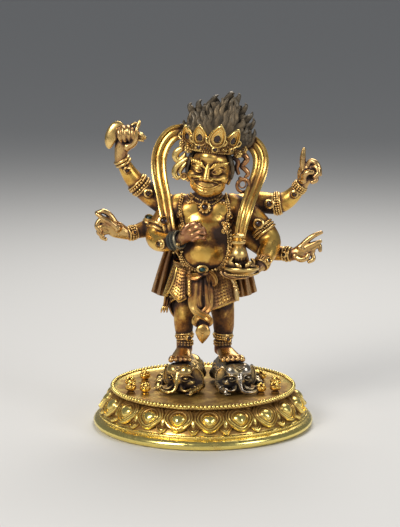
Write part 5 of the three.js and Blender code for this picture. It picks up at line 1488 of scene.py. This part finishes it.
# The skull cup on the middle left hand and the round-bellied lidded vase that stands in it, heaped round
# with curling offerings that rise over the rim like flames. One casting, gilt.
CUP_AT = (18.4, -24.0, 48.6)
parts = [
    moved(spun([(0, -3.9), (2.6, -3.8), (4.8, -3.2), (6.6, -2.2), (7.8, -1.1), (8.5, -0.2), (8.7, 0.5),
                (8.4, 1.0), (7.8, 0.8), (7.2, 0.1), (5.6, -1.0), (3.0, -1.6), (0, -1.8)], steps=56),
          Matrix.Translation(CUP_AT)),
    moved(spun([(0, 0.6), (2.2, 0.6), (2.5, 1.4), (2.0, 2.4), (3.2, 3.4), (4.0, 5.0), (4.1, 6.6),
                (3.4, 8.2), (2.4, 9.4), (1.9, 10.2), (2.2, 10.8), (3.1, 11.2), (3.5, 12.0), (3.3, 12.9),
                (2.2, 13.3), (2.3, 14.0), (3.0, 14.6), (3.0, 15.5), (2.2, 16.2), (0, 16.4)], steps=40),
          Matrix.Translation((17.0, -23.6, 49.4)) @ Matrix.Diagonal((1.06, 1.06, 0.98, 1))),
]
for i in range(16):  # lobes round the vase's body
    a = i * math.pi / 8
    parts.append(ball((17.0 + 3.3 * math.cos(a), -23.6 + 3.3 * math.sin(a), 54.2), (0.95, 0.95, 2.3),
                      sides=10, rows=8))
for a, tall, lean in ((-2.5, 7.0, 0.8), (-1.9, 4.4, -0.6), (-0.9, 5.0, 0.9), (-0.3, 6.0, -0.8),
                      (0.5, 5.0, 0.7), (1.4, 5.6, -0.7), (2.3, 5.4, 0.6), (3.1, 6.2, -0.6)):
    c, s = math.cos(a), math.sin(a)
    x, y = CUP_AT[0] + 6.0 * c, CUP_AT[1] + 6.0 * s
    parts.append(swept([(x - 2.6 * c, y - 2.6 * s, 46.6, 2.2, 1.0),
                        (x - c, y - s, 46.8 + tall * 0.4, 2.0, 0.9),
                        (x + lean * s, y - lean * c, 46.8 + tall * 0.8, 1.4, 0.7),
                        (x - 1.4 * lean * s, y + 1.4 * lean * c, 46.8 + tall * 1.1, 0.5, 0.4)],
                       face=(c, s, 0), sides=12, steps=16))
parts.append(copies(bead(), [
    Matrix.Translation((CUP_AT[0] + 8.3 * math.cos(a), CUP_AT[1] + 8.3 * math.sin(a), 46.4))
    @ Matrix.Scale(0.45, 4) for a in np.linspace(0, 2 * math.pi, 60, endpoint=False)]))
on_figure(joined(parts), "skull_cup_and_vase", pale_gold)


# The patina and painted shade. Old dust, lamp oil and lacquer lie in the hollows, while handling keeps the
# proud places clean; the same value also paints shade into the colour, in every hollow, under every
# overhang and on faces that look down.
# How shut in each spot is, is read from how much of the finished work stands close around a point a little
# way out from it, near by and further off.
CELL = 0.5
pieces = [o for o in bpy.context.scene.objects
          if o.type == "MESH" and o.name != "studio_floor" and not o.hide_render and len(o.data.polygons)
          and o.data.materials and o.data.materials[0] and o.data.materials[0].use_nodes
          and any(n.type == "ATTRIBUTE" for n in o.data.materials[0].node_tree.nodes)]
origin = np.array((-64.0, -62.0, -4.0))
room = np.zeros((264, 252, 352), np.float32)
dice = np.random.default_rng(5)
for o in pieces:
    mesh = o.data
    mesh.calc_loop_triangles()
    at = surface(mesh, np.float32)[0] * 1000
    tri = np.empty(len(mesh.loop_triangles) * 3, np.int32)
    mesh.loop_triangles.foreach_get("vertices", tri)
    a, b, c = (at[tri.reshape(-1, 3)[:, k]] for k in range(3))
    area = np.linalg.norm(np.cross(b - a, c - a), axis=1) / 2
    count = np.minimum(400, np.ceil(area / (CELL * CELL) * 3)).astype(int)
    which = np.repeat(np.arange(len(area)), count)
    u, v = dice.random((2, len(which), 1), dtype=np.float32)
    fold = (u + v > 1)
    u, v = np.where(fold, 1 - u, u), np.where(fold, 1 - v, v)
    spots = np.vstack([at, a[which] + (b - a)[which] * u + (c - a)[which] * v])
    cell = np.floor((spots - origin) / CELL).astype(int)
    cell = cell[((cell >= 0) & (cell < room.shape)).all(axis=1)]
    room[cell[:, 0], cell[:, 1], cell[:, 2]] = 1.0
room[:, :, :int(-origin[2] / CELL)] = 0.0  # nothing counts under the base


def spread(field, reach):
    """The field averaged over a cube of cells around each cell, twice, so that it falls off softly."""
    wide = 2 * reach + 1
    for _ in range(2):
        for axis in range(3):
            pad = [(0, 0)] * 3
            pad[axis] = (reach + 1, reach)
            total = np.cumsum(np.pad(field, pad), axis=axis, dtype=np.float32)
            first = [slice(None)] * 3
            last = [slice(None)] * 3
            last[axis], first[axis] = slice(wide, None), slice(None, -wide)
            field = (total[tuple(last)] - total[tuple(first)]) / wide
    return field


def read(field, spots):
    """The field between its cells, at places in millimetres."""
    p = (spots - origin) / CELL - 0.5
    low = np.clip(np.floor(p).astype(int), 0, np.array(room.shape) - 2)
    f = np.clip(p - low, 0, 1)
    value = 0
    for k in range(8):
        step = np.array((k & 1, k >> 1 & 1, k >> 2 & 1))
        share = np.prod(np.where(step, f, 1 - f), axis=1)
        i = low + step
        value = value + field[i[:, 0], i[:, 1], i[:, 2]] * share
    return value


near, far = spread(room, 1), spread(room, 5)
STAINS_AND_PAINTED_LIGHT = {  # places, with their reach and strength, where the gilding has worn brown or was never cleaned, and where shade is painted in; a negative strength lightens a spot as a painted highlight
    "figure_body": [(1, -16, 93, 2.0, 0.34), (4.5, -16, 91.5, 1.7, 0.30), (-2.5, -16, 91, 1.5, 0.28),
                    (6.5, -15, 99.5, 2.6, 0.30), (8.5, -14, 95, 2.2, 0.30), (-4.6, -9, 108, 1.2, 0.4),
                    (5, -14, 103, 6, 0.34), (9.5, -13, 97, 7, 0.40), (10, -12, 91, 6, 0.30),
                    (-8, -14, 94, 5, 0.24), (-2, -16, 85, 4, 0.18), (-4, -15, 90, 2.5, 0.14),
                    (10, -6, 56, 14, 0.52), (8, -5, 44, 8, 0.3), (-5.0, -3, 52, 6, 0.52),
                    (-9.5, -3, 44, 5, 0.30), (-13, -4, 60, 4, 0.2), (15, -4, 92, 8, 0.36),
                    (24, 0, 92, 9, 0.28), (-22, 2, 106, 6, 0.28), (37, 4, 107, 10, 0.34),
                    (-9, -4, 56, 13, 0.26), (-6, -4, 64, 4, 0.2), (2, -15, 88, 10, 0.10),
                    (-3, -8, 108, 7, -0.14), (9, -8, 108, 5, -0.12), (-30, 0, 96, 6, 0.24),
                    (34, 2, 84, 6, 0.30), (-22, -2, 90, 5, 0.22), (-33, 4, 119, 9, 0.28),
                    (28, -4, 110, 5, 0.22), (-12, -4, 110, 5, 0.2), (18, -2, 114, 5, 0.26),
                    (2, -9, 104, 3, 0.14)],
    "elephant_headed_right": [(-6, 6, 24, 11, 0.4)], "elephant_headed_left": [(12, 6, 24, 11, 0.4)],
    "lotus_base_casting": [(0, 0, 18, 26, 0.1), (20, -20, 19, 22, 0.14), (-30, -10, 19, 14, -0.14)],
    "head": [(3, -12, 125, 10, 0.16), (2, -13, 136, 4, -0.2), (14, -6, 124, 7, 0.28),
             (10, -13, 121, 3, 0.2), (-4, -12, 122, 3, 0.16)],
    "skirt": [(0, 0, 72, 26, 0.08)],
    "scarf": [(20, 2, 118, 9, 0.18), (-17, 2, 112, 7, 0.16), (19, -6, 104, 8, 0.2)],
    "foot_right": [(-9, -4, 39, 5, 0.2)], "foot_left": [(8, -2, 39, 4, 0.2)],
}
for o in pieces:
    mesh = o.data
    n = len(mesh.vertices)
    at, way = surface(mesh, np.float32)
    at = at * 1000
    close = read(near, at + way * 0.9) - 0.20
    wide = read(far, at + way * 2.6) - 0.085
    # Closed-in spots, near and further off, and faces that look down are darkened: painted shade, over the
    # real patina of the hollows.
    shut = 0.25 + close * 1.5 + wide * 4.0 + np.maximum(0, -way[:, 2]) * 0.14
    # Each spot adds painted shade and worn brown, or with a negative strength a painted highlight.
    for x, y, z, reach, much in STAINS_AND_PAINTED_LIGHT.get(o.name, ()):
        shut = shut + much * np.exp(-(np.linalg.norm(at - np.array((x, y, z)), axis=1) / reach) ** 2)
    if o.name == "lotus_base_casting":  # the flat top, inside the beaded rim, is darkened: dust, and painted shade that dims its reflection of the pale room
        on_top = (way[:, 2] > 0.9) & (at[:, 2] > 17) & (np.hypot(at[:, 0], at[:, 1]) < 42.5)
        shut = shut + 0.75 * on_top
    edges = np.empty(len(mesh.edges) * 2, np.int32)
    mesh.edges.foreach_get("vertices", edges)
    edges = edges.reshape(-1, 2)
    reach = np.bincount(edges.ravel(), minlength=n).astype(np.float32) + 1
    for _ in range(2):
        from_last = np.bincount(edges[:, 0], shut[edges[:, 1]], n)
        from_first = np.bincount(edges[:, 1], shut[edges[:, 0]], n)
        shut = (shut + from_last + from_first) / reach
    patina_and_painted_shade = mesh.attributes.new("patina_and_painted_shade", "FLOAT", "POINT")
    patina_and_painted_shade.data.foreach_set("value", np.clip(shut, 0, 1).astype(np.float32))
